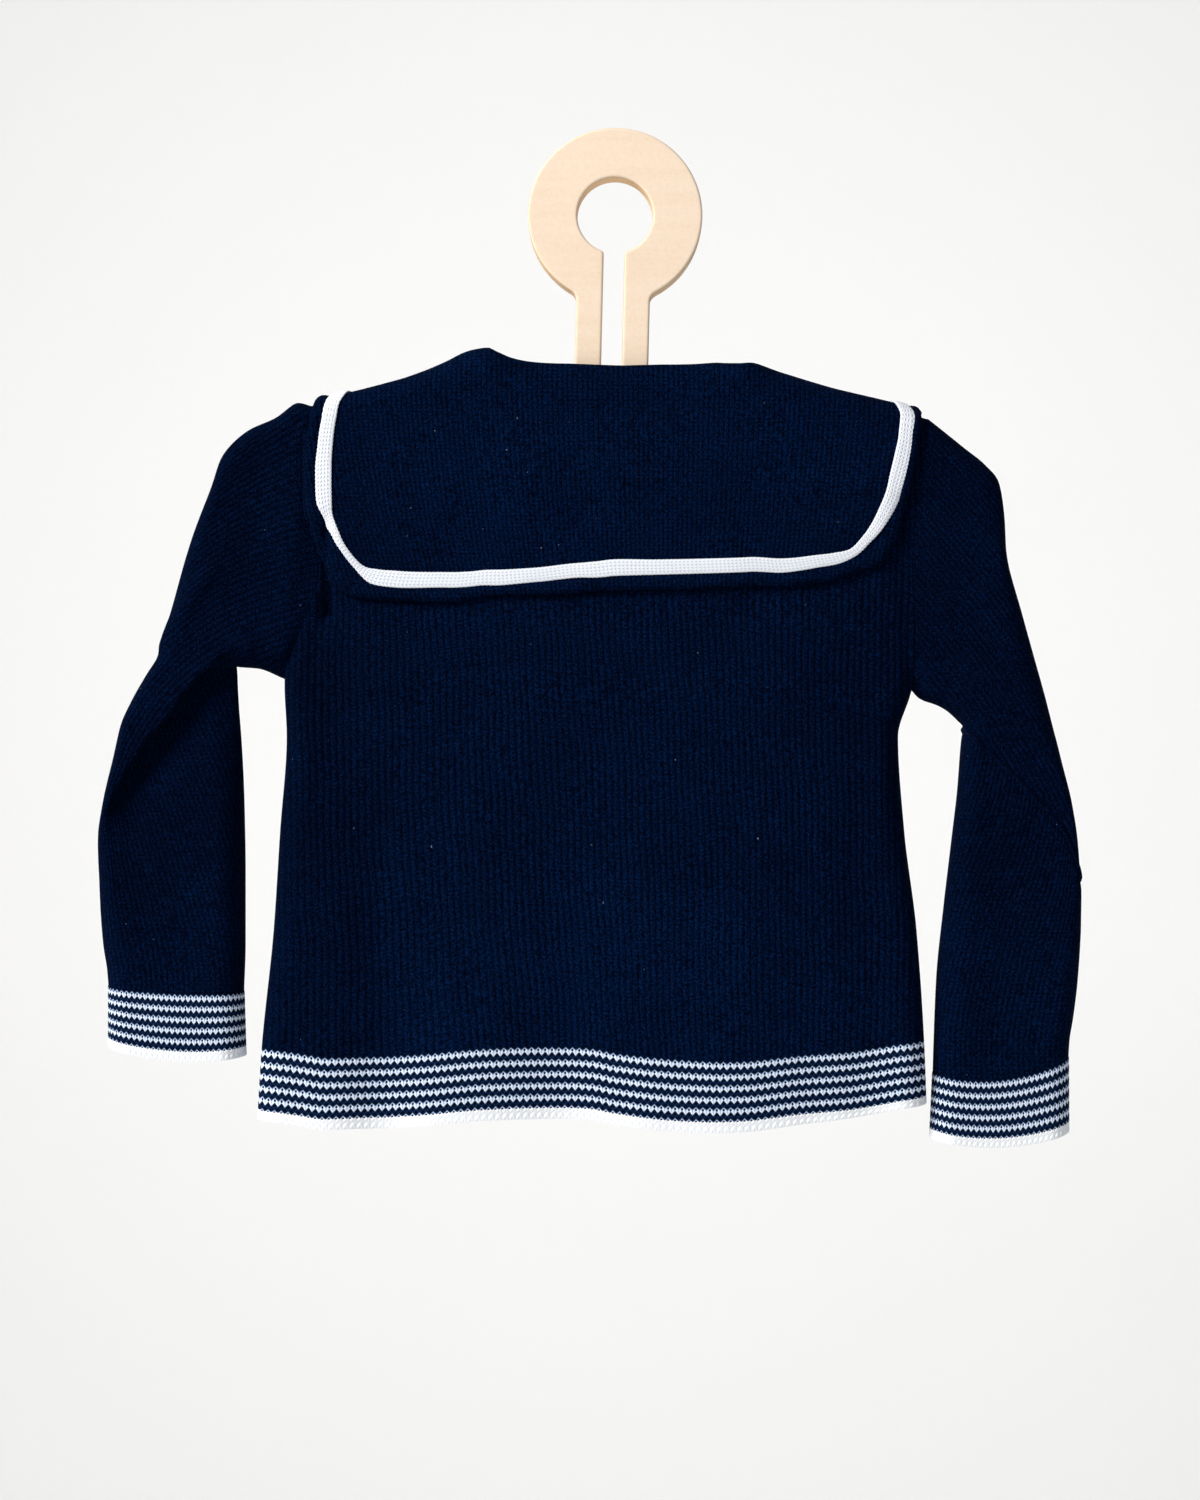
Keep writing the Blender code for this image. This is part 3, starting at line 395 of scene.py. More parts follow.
# Striped cloth: v counts stripes down from the top of the band, u counts stitches. Each
# of the first five stripes is a zigzag of white stitches, its peaks thin arches that
# show navy inside them; from the sixth down everything below the arches is white.
def stripedLook(name):
    look = Looks(name, knit["navyStripe"])
    u, v = look.stitchPlaces()
    places = look.objectPlaces()
    across = look.acrossRib(u)
    fluff = look.noise(places, 1700, 3)
    wander = (look.noise(places, 420, 1) - 0.5) * 0.10
    row = look.maths("FRACT", v + 0.01) + wander
    belowPeak = row - (1 - across) * 0.24
    aboveFoot = 0.83 - across * 0.35 - row
    under = look.larger(look.span(belowPeak, 0.04, 0.11), v > 5.6)
    over = look.larger(look.span(aboveFoot, 0.0, 0.07), v > 5.0)
    hole = ((1 - across) / 0.34) ** 2.0 + ((row - 0.31) / 0.12) ** 2.0
    solid = look.larger(look.span(hole, 0.6, 1.3), v > 5.3)
    white = under * over * solid
    legs = look.stitchLegs(v * 2.0, across, -0.55)
    # tone is painted shade: the pale yarn turns to stripeShade in the slit of each V and in the thin
    # arches at its peaks
    tone = (0.70 + fluff * 0.75) * (0.40 + look.span(across, 0.02, 0.26) * 0.60)
    tone = tone * (0.10 + look.span(belowPeak, 0.06, 0.24) * 0.90)
    paleYarn = look.mix(tone, knit["stripeShade"], knit["stripeWhite"])
    paleYarn = look.mix(v > 5.25, paleYarn, knit["edgeWhite"])
    # painted shade between the legs of the navy stitches, lit colour on their loops
    darkYarn = look.mix(legs * fluff, knit["navyGrooveShade"], knit["navyLoopLit"])
    look.bump(white * 0.5 + legs * 0.5 + fluff * 0.25, 0.8, 0.0004)
    look.finishCloth(look.mix(white, darkYarn, paleYarn))
    return look.material


ply = {
    "face": (0.80, 0.65, 0.51),
    "faceDark": (0.71, 0.54, 0.38),
    "layerPale": (0.78, 0.56, 0.34),
    "layerDark": (0.42, 0.25, 0.12),
    "layers": 9,
    "thickness": 12.0,
    "grainTurn": 4,
    "grainStretch": (5, 40, 60),
    "roughness": 0.7,
    "specular": 0.15,
}


# Birch ply: faint long grain on its faces, thin dark glue lines on its edges.
def plyLook(name):
    look = Looks(name, ply["face"])
    places = look.objectPlaces()
    stretched = look.node("ShaderNodeMapping")
    look.feed(stretched.inputs["Vector"], places)
    stretched.inputs["Rotation"].default_value = (0, radians(ply["grainTurn"]), 0)
    stretched.inputs["Scale"].default_value = ply["grainStretch"]
    grain = look.noise(stretched.outputs[0], 3.2, 5, 0.6)
    fine = look.noise(stretched.outputs[0], 16, 3, 0.7)
    speck = look.span(look.noise(places, 900, 2), 0.35, 0.8)
    streak = look.span(grain, 0.35, 0.75) * 0.30 + look.span(fine, 0.5, 0.8) * 0.15 + speck * 0.35
    face = look.mix(streak, ply["face"], ply["faceDark"])
    depth = look.axes(places)[1]
    layer = depth * (ply["layers"] / (ply["thickness"] * mm))
    wood = look.span(abs(look.maths("SINE", layer * pi)), 0.15, 0.6)
    edge = look.mix(wood, ply["layerDark"], ply["layerPale"])
    onFace = look.span(abs(depth), 0.0051, 0.0057)
    look.feed(look.shader.inputs["Base Color"], look.mix(onFace, edge, face))
    look.shader.inputs["Roughness"].default_value = ply["roughness"]
    look.shader.inputs["Specular IOR Level"].default_value = ply["specular"]
    look.bump(fine * 0.6 + grain * 0.4, 0.25, 0.0003)
    return look.material


navyKnit = navyLook("navy ribbed knit", 0.9, 0.6, 0.80)
collarKnit = navyLook("navy collar knit", 0.8, 0.6, 0.90)
whiteKnit = whiteLook("white knit")
stripedKnit = stripedLook("navy and white knit")
birchPly = plyLook("birch plywood")
print("materials made")


# The body's form

# z of each row; its left and right edge; half its depth at the back and at the front
body = {
    "z": [-440, -400, -345, -299, -256, -232, -205, -180, -152, -130, -107],
    "left": [-165, -162.6, -157.0, -154, -151, -152, -142.8, -135.2, -142.6, -145, -139.4],
    "right": [143.8, 142.4, 138.7, 133, 130.2, 136.5, 136.4, 135.4, 136.6, 139.8, 143.5],
    "back": [14, 14, 13.6, 13.2, 12.6, 12, 11.4, 10.8, 10.4, 10, 9.4],
    "front": [14, 14, 14, 14, 13.5, 13, 12.5, 12, 11.5, 10.8, 9.8],
    "shoulderX": [-139.4, -124, -99, -76, -56.6, 2, 60.7, 76, 108, 131, 143.5],
    "shoulderZ": [-104, -101.3, -95, -88.6, -84.6, -87.2, -90.2, -93.6, -100.9, -106.4, -110],
    "hemX": [-162, -153, -141.4, -129.6, -106, -94, -82.4, -70.5, -58.7, -41, -23.3, -11.4, 0.4,
             12.2, 24, 35.8, 47.6, 59.5, 71.2, 83.1, 94.9, 106.7, 118.6, 130.3, 142],
    "hemZ": [-398.4, -398.6, -399.9, -401.5, -401.5, -400.8, -399.7, -398.4, -397.5, -397.1, -397.3,
             -397.8, -399.8, -401.1, -402.1, -402.8, -403.2, -403.0, -401.9, -400.7, -400.0, -399.3,
             -397.7, -395.7, -394.6],
    "underarmLeft": -229.5, "underarmRight": -235.0,
    "neckLeft": -56.6, "neckRight": 60.7, "neckHalfDepth": 9.6,
    "backNeckDrop": 7.0, "frontNeckDrop": 91.0,
    "shoulderRound": 9.0, "sideRound": 13.0, "underarmRound": 22.0,
    "armholeDepth": 9.6, "seamEase": 9.0,
    "wall": 2.0, "ribPitch": 3.04, "ribHeight": 0.24, "stitchRow": 1.84,
}
# folds: x at the top and at the bottom, width, height, z of the top
backFolds = [(-128, -131, 15, 2.0, -215), (-108, -106, 13, -2.6, -200), (-58, -70, 24, 1.4, -235),
             (-12, -24, 22, -3.4, -240), (52, 50, 30, 3.2, -225), (112, 118, 15, -2.8, -230),
             (-84, -96, 9, -0.7, -270), (22, 14, 10, 0.7, -290), (84, 92, 10, -0.8, -260)]
frontFolds = [(-118, -122, 16, -2.4, -225), (-60, -66, 26, 2.4, -235), (4, -2, 22, -3.0, -250),
              (62, 70, 28, 2.6, -230), (114, 116, 14, -2.0, -240)]
# creases: x and z of both ends, width, height
backCreases = [(-134.5, -164, -131.5, -199, 3.8, -4.6), (-132, -158, -139, -224, 5, -1.6),
               (135, -178, 136, -232, 2.6, -1.4), (-127, -200, -124, -262, 12, -2.2),
               (-147, -238, -140, -292, 6, 0.8), (132, -150, 133, -222, 5, -1.3),
               (131, -240, 118, -296, 7, 0.9), (126, -222, 92, -208, 7, -0.7),
               (-70, -236, -60, -300, 11, 0.5), (30, -330, 66, -352, 12, 0.4)]
frontCreases = [(-144, -240, -120, -300, 8, 1.0), (130, -242, 108, -290, 8, 1.0)]


def shoulderHeight(x):
    return smoothCurve(x, body["shoulderX"], body["shoulderZ"])


def bodyColumn(z, name):
    return smoothCurve(z, body["z"], body[name])


# Half the armhole's depth: a quarter round below the shoulder and above the underarm.
def armholeDepth(z, shoulder, underarm):
    return (body["armholeDepth"] * quarterRound(np.maximum(shoulder - z, 0), body["shoulderRound"])
            * quarterRound(np.maximum(z - underarm, 0), body["underarmRound"]))


# -1 at the neck's left point, 1 at its right one.
def neckShare(x):
    left, right = body["neckLeft"], body["neckRight"]
    return np.clip((2 * x - left - right) / (right - left), -1, 1)


# How far the neckline lies below the shoulder line: a V in front, a shallow dip behind.
def neckDrop(x, side):
    share = np.abs(neckShare(x))
    if side == front:
        return body["frontNeckDrop"] * (1 - share)
    return body["backNeckDrop"] * (1 - share ** 4)


# Soft ridges and troughs that grow from their tops towards the hem.
def foldHeight(x, z, side):
    total = np.zeros(np.broadcast(x, z).shape)
    for xTop, xBottom, width, height, zTop in backFolds if side == back else frontFolds:
        down = np.clip((zTop - z) / (zTop - body["z"][0]), 0, 1)
        middle = xTop + (xBottom - xTop) * down
        total += height * ease(down * 1.6) * np.exp(-((x - middle) / width) ** 2)
    return total + creaseHeight(x, z, backCreases if side == back else frontCreases)


# Distance of the outer face from the middle plane: the row's own depth with its folds,
# brought in to the neck at the top and round to the seams at both edges.
def bodyDepth(x, z, side, topShare):
    plain = bodyColumn(z, "back" if side == back else "front") + foldHeight(x, z, side)
    neck = body["neckHalfDepth"] * (1 - np.abs(neckShare(x)) ** 6) ** (1 / 6)
    depth = neck + (plain - neck) * topShare
    for edge, shoulder, underarm in (
            (x - bodyColumn(z, "left"), body["shoulderZ"][0], body["underarmLeft"]),
            (bodyColumn(z, "right") - x, body["shoulderZ"][-1], body["underarmRight"])):
        armhole = armholeDepth(z, shoulder, underarm)
        sewn = armhole / body["armholeDepth"]
        rise = (1 - sewn) * quarterRound(edge, body["sideRound"]) + sewn * ease(edge / body["seamEase"])
        depth = armhole + (depth - armhole) * rise
    return depth


# Length of cloth from the shoulder line to a height below it, round the fold and down.
def clothOf(drop):
    radius = body["shoulderRound"]
    turn = np.arccos(1 - np.clip(drop / radius, 0, 1))
    return radius * turn + np.maximum(drop - radius, 0)


# Outer face of the body at x and a length of cloth down from the shoulder line.
def bodyPoint(x, cloth, side):
    radius = body["shoulderRound"]
    turn = np.clip(np.maximum(cloth, 0) / radius, 0, pi / 2)
    z = shoulderHeight(x) - radius * (1 - np.cos(turn)) - np.maximum(cloth - radius * pi / 2, 0)
    y = side * bodyDepth(x, z, side, np.sin(turn))
    return np.stack(np.broadcast_arrays(x, y, z), axis=-1)


# A point lifted off the body along its normal; cloth is below 0 in front, over 0 behind.
def overBody(x, cloth, lift):
    result = np.zeros(np.broadcast(x, cloth).shape + (3,))
    h = 0.05
    length = np.abs(cloth)
    for side in (back, front):
        point = bodyPoint(x, length, side)
        across = bodyPoint(x + h, length, side) - bodyPoint(x - h, length, side)
        down = bodyPoint(x, length + h, side) - point
        normal = unit(np.cross(across, down)) * side
        onSide = (cloth >= 0) == (side == back)
        lifted = point + np.asarray(lift)[..., None] * normal
        result = np.where(onSide[..., None], lifted, result)
    return result


# Outer face of a panel: u from left to right, v from the top (0) round the shoulder
# (0.1) to the underarm (0.5) and the hem (1), then millimetres below the hem.
def panelPoint(u, v, side):
    left, right = body["shoulderX"][0], body["shoulderX"][-1]
    xTop = left + u * (right - left)
    top = shoulderHeight(xTop) - neckDrop(xTop, side)
    turn = np.clip(v / 0.1, 0, 1) * pi / 2
    underarm = body["underarmLeft"] + u * (body["underarmRight"] - body["underarmLeft"])
    hem = smoothCurve(body["hemX"][0] + u * (body["hemX"][-1] - body["hemX"][0]),
                      body["hemX"], body["hemZ"])
    radius = body["shoulderRound"]
    toUnderarm = np.clip((v - 0.1) / 0.4, 0, 1)
    toHem = np.clip((v - 0.5) / 0.5, 0, 1)
    z = (top - radius * (1 - np.cos(turn)) + (underarm - top + radius) * toUnderarm
         + (hem - underarm) * toHem - np.maximum(v - 1, 0))
    rowLeft, rowRight = bodyColumn(z, "left"), bodyColumn(z, "right")
    topLeft, topRight = bodyColumn(top, "left"), bodyColumn(top, "right")
    x = rowLeft + u * (rowRight - rowLeft)
    x = x + (xTop - topLeft - u * (topRight - topLeft)) * (1 - ease(v / 0.5))
    drop = np.maximum(shoulderHeight(x) - z, 0)
    drop = np.where((v <= 0) & (np.abs(neckShare(x)) >= 1), 0, drop)
    return bodyPoint(x, clothOf(drop), side)


# Ribs counted across the body. They hang straight whatever the seams do, but lean a
# little to the right on their way down the middle, and wander by a few slow waves.
def ribCount(x, z, side):
    down = np.maximum(-z - 190, 0)
    lean = 0.055 * down * np.exp(-((x + 30) / 100) ** 2)
    wander = (0.5 * np.sin(z / 27 + x / 41 + side) + 0.3 * np.sin(z / 13.7 - x / 19 + 2.1)
              + 0.18 * np.sin(z / 6.4 + x / 11))
    return (x - lean - wander) / body["ribPitch"]


# Panels, hem bands and hem edges

bodyCentre = np.array([0.0, 0.0, -250.0])
panels = {"shoulderRows": 9, "underCollarRows": 14, "openRows": 112,
          "backColumns": 490, "frontColumns": 390, "edgeEase": 0.01, "cut": (0.292, 0.302),
          "backArea": 0.087, "frontArea": 0.081}
panelRows = np.concatenate([np.linspace(0, 0.1, panels["shoulderRows"]),
                            np.linspace(0.1, 0.27, panels["underCollarRows"] + 1)[1:],
                            np.linspace(0.27, 1, panels["openRows"] + 1)[1:]])


# 0 at the two side seams, 1 a hundredth of the width away from them.
def offSeams(u):
    return ease(u / panels["edgeEase"]) * ease((1 - u) / panels["edgeEase"])


def addPanel(name, side, columns, node):
    u = np.arange(columns + 1)[None, :] / columns
    v = panelRows[:, None]
    plain = panelPoint(u, v, side)
    ribs = ribCount(plain[..., 0], plain[..., 2], side)
    raised = (0.5 - 0.5 * np.cos(2 * pi * ribs)) * ease((v - 0.04) / 0.1) * offSeams(u)
    down = np.cumsum(np.linalg.norm(np.diff(plain, axis=0, prepend=plain[:1]), axis=2), axis=0)
    stitch = np.stack([ribs, down / body["stitchRow"]], axis=-1)
    piece = addShell(name, plain, raised * body["ribHeight"], body["wall"], (2, 5),
                     stitch, navyKnit, bodyCentre, keepSide=side)
    dress(piece, [node])


addPanel("backPanel", back, panels["backColumns"], "back_panel")
addPanel("frontPanel", front, panels["frontColumns"], "front_panel")
print("panels made")

# x along the hem, and how high the stripes and the white edge are there against their size
hem = {"bandHeight": 27.2, "edgeHeight": 5.8, "stripe": 5.44, "stitches": 98,
       "shareX": [-162, -145, -110, -40, 0, 25, 60, 95, 110, 142],
       "bandShare": [0.985, 0.985, 0.967, 0.967, 0.955, 0.97, 0.943, 0.935, 0.93, 0.90],
       "edgeShare": [1.0, 1.05, 1.15, 1.18, 1.16, 1.16, 1.16, 1.0, 0.85, 0.85],
       "backColumns": 6, "frontColumns": 3, "rowsPerStripe": 10, "relief": 0.28, "wall": 1.9,
       "cut": (0.318, 0.033)}


# Height of a V stitch: each leg is a half wave down a half stripe, led by its place
# across the stitch, and the whole falls away between two stitches.
def stitchRelief(count, stripe):
    across = np.abs(2 * (count - np.floor(count)) - 1)
    leg = np.abs(np.sin(pi * (2 * stripe - 0.55 * across)))
    return (0.35 + 0.65 * leg) * (1 - across ** 4)


def addHem(name, side, top, height, node):
    each = hem["backColumns"] if side == back else hem["frontColumns"]
    columns = hem["stitches"] * each
    down = int(round(height / hem["stripe"] * hem["rowsPerStripe"] / 2)) * 2
    u = np.arange(columns + 1)[None, :] / columns
    x = body["hemX"][0] + u * (body["hemX"][-1] - body["hemX"][0])
    flat = (top + np.linspace(0, height, down + 1))[:, None]
    inBand = np.minimum(flat, hem["bandHeight"])
    drop = (inBand * smoothCurve(x, hem["shareX"], hem["bandShare"])
            + (flat - inBand) * smoothCurve(x, hem["shareX"], hem["edgeShare"]))
    plain = panelPoint(u, 1 + drop, side)
    count = np.broadcast_to(u * hem["stitches"], plain.shape[:2])
    stripe = np.broadcast_to(flat / hem["stripe"], plain.shape[:2])
    relief = hem["relief"] * stitchRelief(count, stripe) * offSeams(u)
    piece = addShell(name, plain, relief, hem["wall"], (2, each),
                     np.stack([count, stripe], axis=-1), stripedKnit, bodyCentre, keepSide=side)
    dress(piece, [node])
    return piece


for side, word in ((back, "Back"), (front, "Front")):
    edge = addHem("hemEdge" + word, side, hem["bandHeight"], hem["edgeHeight"],
                  "hem_edge_" + word.lower())
    band = addHem("hemBand" + word, side, 0, hem["bandHeight"], "hem_band_" + word.lower())
print("hem made")


# Sleeves and cuffs

# Each ring: its outer and inner point seen from the back, its depth at the back and in
# front, how round its two folds are, its share of the sleeve's bow, the hollow pressed
# into its back, how far that cloth is tucked up under the fold, and how far it sags.
leftSleeve = {
    "rings": [
        (-139.4, -104.0, -152.3, -229.5, 9.6, 9.6, 9.0, 0.00, 0.0, 0.0, 0.0),
        (-145.4, -102.6, -154.2, -228.7, 9.7, 9.7, 9.2, 0.00, 0.0, 0.0, 0.0),
        (-155.9, -109.5, -156.5, -227.6, 9.8, 9.8, 9.5, 0.00, 0.0, 0.0, 0.0),
        (-168.8, -115.5, -160.0, -226.0, 10.2, 10.2, 10.0, 0.02, 0.0, 0.0, 0.0),
        (-180.3, -127.0, -163.5, -224.9, 11.0, 11.0, 11.0, 0.06, 0.0, 0.0, 0.0),
        (-185.4, -141.2, -165.2, -224.7, 11.6, 11.6, 11.0, 0.10, 0.0, 0.0, 0.0),
        (-194.6, -165.6, -167.2, -224.5, 12.0, 12.0, 11.0, 0.20, 0.0, 0.0, 0.0),
        (-203.3, -195.5, -169.2, -224.4, 12.3, 12.6, 11.0, 0.36, 0.0, 0.0, 0.0),
        (-209.3, -217.6, -170.8, -224.3, 12.5, 13.0, 11.0, 0.50, 0.0, 0.0, 0.0),
        (-215.3, -227.7, -171.6, -224.2, 12.8, 13.2, 11.0, 0.60, 0.0, 0.0, 0.0),
        (-221.7, -239.2, -172.2, -224.2, 13.2, 13.5, 11.0, 0.70, 0.0, 0.0, 0.0),
        (-227.2, -252.5, -172.8, -224.1, 13.5, 13.8, 11.0, 0.80, 0.0, 0.0, 0.0),
        (-230.8, -268.0, -173.2, -224.0, 13.8, 14.0, 11.0, 0.88, 0.0, 0.0, 0.0),
        (-234.6, -284.5, -173.6, -224.0, 13.8, 14.0, 11.0, 0.95, 0.0, 0.0, 0.0),
        (-236.8, -297.5, -173.9, -224.0, 13.6, 14.0, 11.0, 1.00, 0.3, 0.0, 0.0),
        (-237.1, -300.0, -173.9, -224.2, 13.2, 14.0, 11.0, 1.00, 3.0, 0.4, 0.0),
        (-237.2, -301.0, -173.9, -224.6, 13.0, 14.0, 11.0, 1.00, 8.0, 2.2, 0.0),
        (-237.3, -303.0, -173.8, -226.5, 13.0, 14.0, 11.0, 1.00, 9.0, 1.0, 0.0),
        (-237.4, -307.0, -173.6, -232.0, 12.8, 14.0, 11.5, 0.98, 8.4, 0.0, 0.0),
        (-237.3, -313.0, -173.0, -243.0, 12.6, 14.0, 12.0, 0.90, 6.4, 0.0, 0.0),
        (-236.9, -322.0, -171.8, -259.0, 12.4, 14.0, 12.0, 0.70, 3.6, 0.0, 0.0),
        (-236.4, -335.0, -170.6, -284.0, 12.2, 13.8, 12.0, 0.40, 1.3, 0.0, 0.1),
        (-235.2, -351.0, -170.0, -318.0, 12.2, 13.2, 12.0, 0.15, 0.2, 0.0, 0.5),
        (-233.4, -363.0, -170.0, -350.0, 12.0, 12.8, 11.5, 0.00, 0.0, 0.0, 1.0),
        (-232.8, -370.3, -170.7, -373.0, 11.5, 12.5, 11.0, 0.00, 0.0, 0.0, 1.3),
    ],
    "cuffEnd": (-232.8, -397.9, -169.8, -402.5, 12.0, 13.0, 11.0, 0.00, 0.0, 0.0, 3.6),
    "cuffBand": 0.80,
    "bow": ((0, 0.122, 0.225, 0.338, 0.469, 0.584, 0.673, 0.772, 0.858, 0.928, 1),
            (0, 2.0, 4.9, 7.0, 8.65, 8.4, 8.5, 9.5, 9.3, 7.2, 0)),
    "hollow": ((0, 0.1, 0.2, 0.34, 0.5, 1), (0, 0.02, 0.3, 0.8, 1, 1)),
    "towardsShoulder": 1, "seamU": 0, "split": 16, "creaseRing": 15.5, "creaseSize": -0.8,
    # ribs counted over the upper sleeve: a sum of powers of x and z from ribCentre, in
    # units of ribUnit; each term is the power of x, the power of z and its size
    "ribCentre": (-180, -190), "ribAlong": (0.79, 0.61),
    "ribTerms": [(0, 1, 20.7), (0, 2, 2.18), (0, 3, -0.09), (1, 0, -11.7), (1, 1, -4.84),
                 (1, 2, -5.22), (2, 0, 11.2), (2, 1, 7.0), (3, 0, -6.9)],
    "creases": [(-147, -160, -152, -216, 7, 1.6), (-184, -181, -207, -214, 4.5, 2.0),
                (-160, -118, -170, -190, 13, -0.9), (-196, -196, -178, -216, 8, -0.8),
                (-222, -250, -196, -236, 7, 0.5), (-214, -262, -190, -240, 5, 0.5),
                (-228, -330, -222, -364, 7, 0.7), (-196, -300, -200, -362, 9, -0.9),
                (-180, -320, -180, -366, 6, 0.5)],
    "frontCreases": [(-184, -181, -207, -214, 6, 0.9), (-205, -300, -200, -360, 9, -0.8)],
}
rightSleeve = {
    "rings": [
        (143.5, -110.0, 136.5, -235.0, 9.6, 9.6, 9.0, 0.00, 0.0, 0.0, 0.0),
        (151.4, -116.2, 139.5, -238.2, 9.8, 9.8, 9.5, 0.00, 0.0, 0.0, 0.0),
        (160.2, -123.2, 142.5, -239.8, 10.3, 10.3, 10.0, 0.00, 0.0, 0.0, 0.0),
        (169.8, -130.9, 146.0, -240.9, 10.8, 10.8, 10.6, 0.02, 0.0, 0.0, 0.0),
        (176.2, -139.0, 148.5, -241.9, 11.2, 11.2, 11.0, 0.05, 0.0, 0.0, 0.0),
        (178.8, -154.6, 151.0, -243.2, 11.6, 11.6, 11.0, 0.10, 0.0, 0.0, 0.0),
        (179.9, -172.0, 153.0, -244.5, 12.0, 12.0, 11.0, 0.16, 0.0, 0.0, 0.0),
        (187.2, -200.1, 155.0, -246.2, 12.2, 12.4, 11.0, 0.28, 0.0, 0.0, 0.0),
        (192.7, -219.9, 156.5, -247.6, 12.4, 12.7, 11.0, 0.40, 0.0, 0.0, 0.0),
        (197.8, -238.3, 157.8, -248.9, 12.6, 13.0, 11.0, 0.55, 0.0, 0.0, 0.0),
        (203.6, -262.0, 159.0, -250.0, 12.8, 13.5, 11.0, 0.70, 0.0, 0.0, 0.0),
        (209.8, -287.5, 159.8, -250.9, 12.8, 13.8, 11.0, 0.86, 0.0, 0.0, 0.0),
        (212.3, -305.0, 160.1, -251.4, 12.6, 14.0, 11.0, 0.95, 0.0, 0.0, 0.0),
        (213.4, -322.0, 160.0, -252.4, 12.3, 14.0, 11.0, 1.00, 0.0, 0.0, 0.0),
        (213.9, -331.0, 159.0, -262.0, 12.3, 13.8, 11.0, 0.92, 0.0, 0.0, 0.0),
        (213.9, -343.2, 157.6, -280.0, 12.2, 13.6, 12.0, 0.70, 0.0, 0.0, 0.0),
        (213.4, -356.0, 154.8, -304.0, 12.0, 13.4, 12.0, 0.42, 0.0, 0.0, 0.4),
        (212.4, -370.0, 151.1, -335.0, 11.8, 13.1, 12.0, 0.18, 0.0, 0.0, 1.4),
        (210.4, -386.0, 147.9, -366.0, 11.5, 12.9, 12.0, 0.04, 0.0, 0.0, 3.0),
        (208.9, -395.0, 146.8, -391.0, 11.2, 12.7, 11.5, 0.00, 0.0, 0.0, 4.6),
        (208.4, -402.8, 146.2, -410.3, 11.0, 12.5, 11.0, 0.00, 0.0, 0.0, 5.6),
    ],
    "cuffEnd": (208.6, -437.0, 144.8, -440.2, 11.5, 13.0, 11.0, 0.00, 0.0, 0.0, 4.7),
    "cuffBand": 0.81,
    "bow": ((0, 0.2, 0.284, 0.39, 0.53, 0.68, 0.826, 1), (0, 5.4, 6.9, 6.5, 5.4, 3.5, 1.6, 0)),
    "hollow": ((0, 1), (0, 0)),
    "towardsShoulder": -1, "seamU": 1, "split": 13, "creaseRing": 13.0, "creaseSize": 0.9,
    "ribCentre": (170, -200), "ribAlong": (-0.62, 0.79),
    "ribTerms": [(0, 1, 15.2), (0, 2, 0.92), (1, 0, 20.9), (1, 1, -0.35), (2, 0, 2.2)],
    "creases": [(172, -142, 178, -169, 2.6, -0.9), (160, -128, 158, -200, 12, -0.8),
                (168, -205, 150, -236, 9, -0.7), (196, -262, 176, -246, 8, 0.6),
                (204, -330, 202, -396, 8, 0.7), (178, -320, 176, -400, 10, -1.0),
                (160, -330, 157, -396, 7, 0.6)],
    "frontCreases": [(168, -205, 150, -236, 9, -0.8), (178, -320, 176, -400, 10, -0.9)],
}
sleeves = {"columns": 136, "rowLength": 2.4, "rib": 2.42, "ribUnit": 60, "wall": 2.0,
           "carry": 4.0, "cut": (0.275, 0.215), "area": 0.044,
           "cuffStitches": 62, "cuffColumns": 6, "cuffRelief": 0.28, "cuffWall": 1.9,
           "cuffStripes": 5.0, "cuffRows": 50, "edgeStripes": 6.06, "edgeRows": 10,
           "cuffCut": (0.156, 0.031)}


# Points of equal spacing along a curve of many points.
def evenly(curve, count):
    along = lengthAlong(curve)
    wanted = np.linspace(0, along[-1], count)
    return np.stack([np.interp(wanted, along, curve[:, k]) for k in range(3)], axis=1)


# One ring: its back half from the outer point to the inner one, then its front half.
def ringCurve(sleeve, ring, count):
    outX, outZ, inX, inZ, backDepth, frontDepth, roundness, bow, hollow, tuck, sag = ring
    chord = np.array([inX - outX, inZ - outZ])
    length = np.linalg.norm(chord)
    square = np.array([-chord[1], chord[0]]) / length * sleeve["towardsShoulder"]
    t = 0.5 - 0.5 * np.cos(np.linspace(0, pi, 241))
    folds = quarterRound(t * length, roundness) * quarterRound((1 - t) * length, roundness)
    pressed = np.interp(t, *sleeve["hollow"])
    halves = []
    for side, depth in ((back, backDepth), (front, frontDepth)):
        onBack = 1 if side == back else 0
        y = side * (depth - onBack * hollow * pressed) * folds
        shift = bow * smoothCurve(t, *sleeve["bow"]) + onBack * tuck * pressed * (1 - t ** 8)
        x = outX + t * chord[0] + square[0] * shift
        z = outZ + t * chord[1] + square[1] * shift - 4 * t * (1 - t) * sag
        halves.append(evenly(np.stack([x, y, z], axis=1), count // 2 + 1))
    return np.concatenate([halves[0][:-1], halves[1][::-1][:-1]])


# The edges of the two panels at one armhole, from the shoulder to the underarm and back.
def armholeCurve(seamU, count):
    v = np.linspace(0, 0.5, 161)
    curve = panelPoint(np.full(len(v), float(seamU)), v, back)
    curve[:, 0] += 0.25 if seamU else -0.25
    half = evenly(curve, count // 2 + 1)
    return np.concatenate([half[:-1], (half * (1, -1, 1))[::-1][:-1]])


# Places between the rings, in an even number of steps from each ring to the next.
def ringPlaces(rings):
    steps = []
    for k in range(len(rings) - 1):
        a, b = rings[k], rings[k + 1]
        outside, inside = np.hypot(b[0] - a[0], b[1] - a[1]), np.hypot(b[2] - a[2], b[3] - a[3])
        size = max(outside, inside, abs(b[8] - a[8]))
        steps.append(2 * int(np.ceil(size / sleeves["rowLength"])))
    places = [np.linspace(k, k + 1, count, endpoint=False) for k, count in enumerate(steps)]
    return np.append(np.concatenate(places), len(rings) - 1)


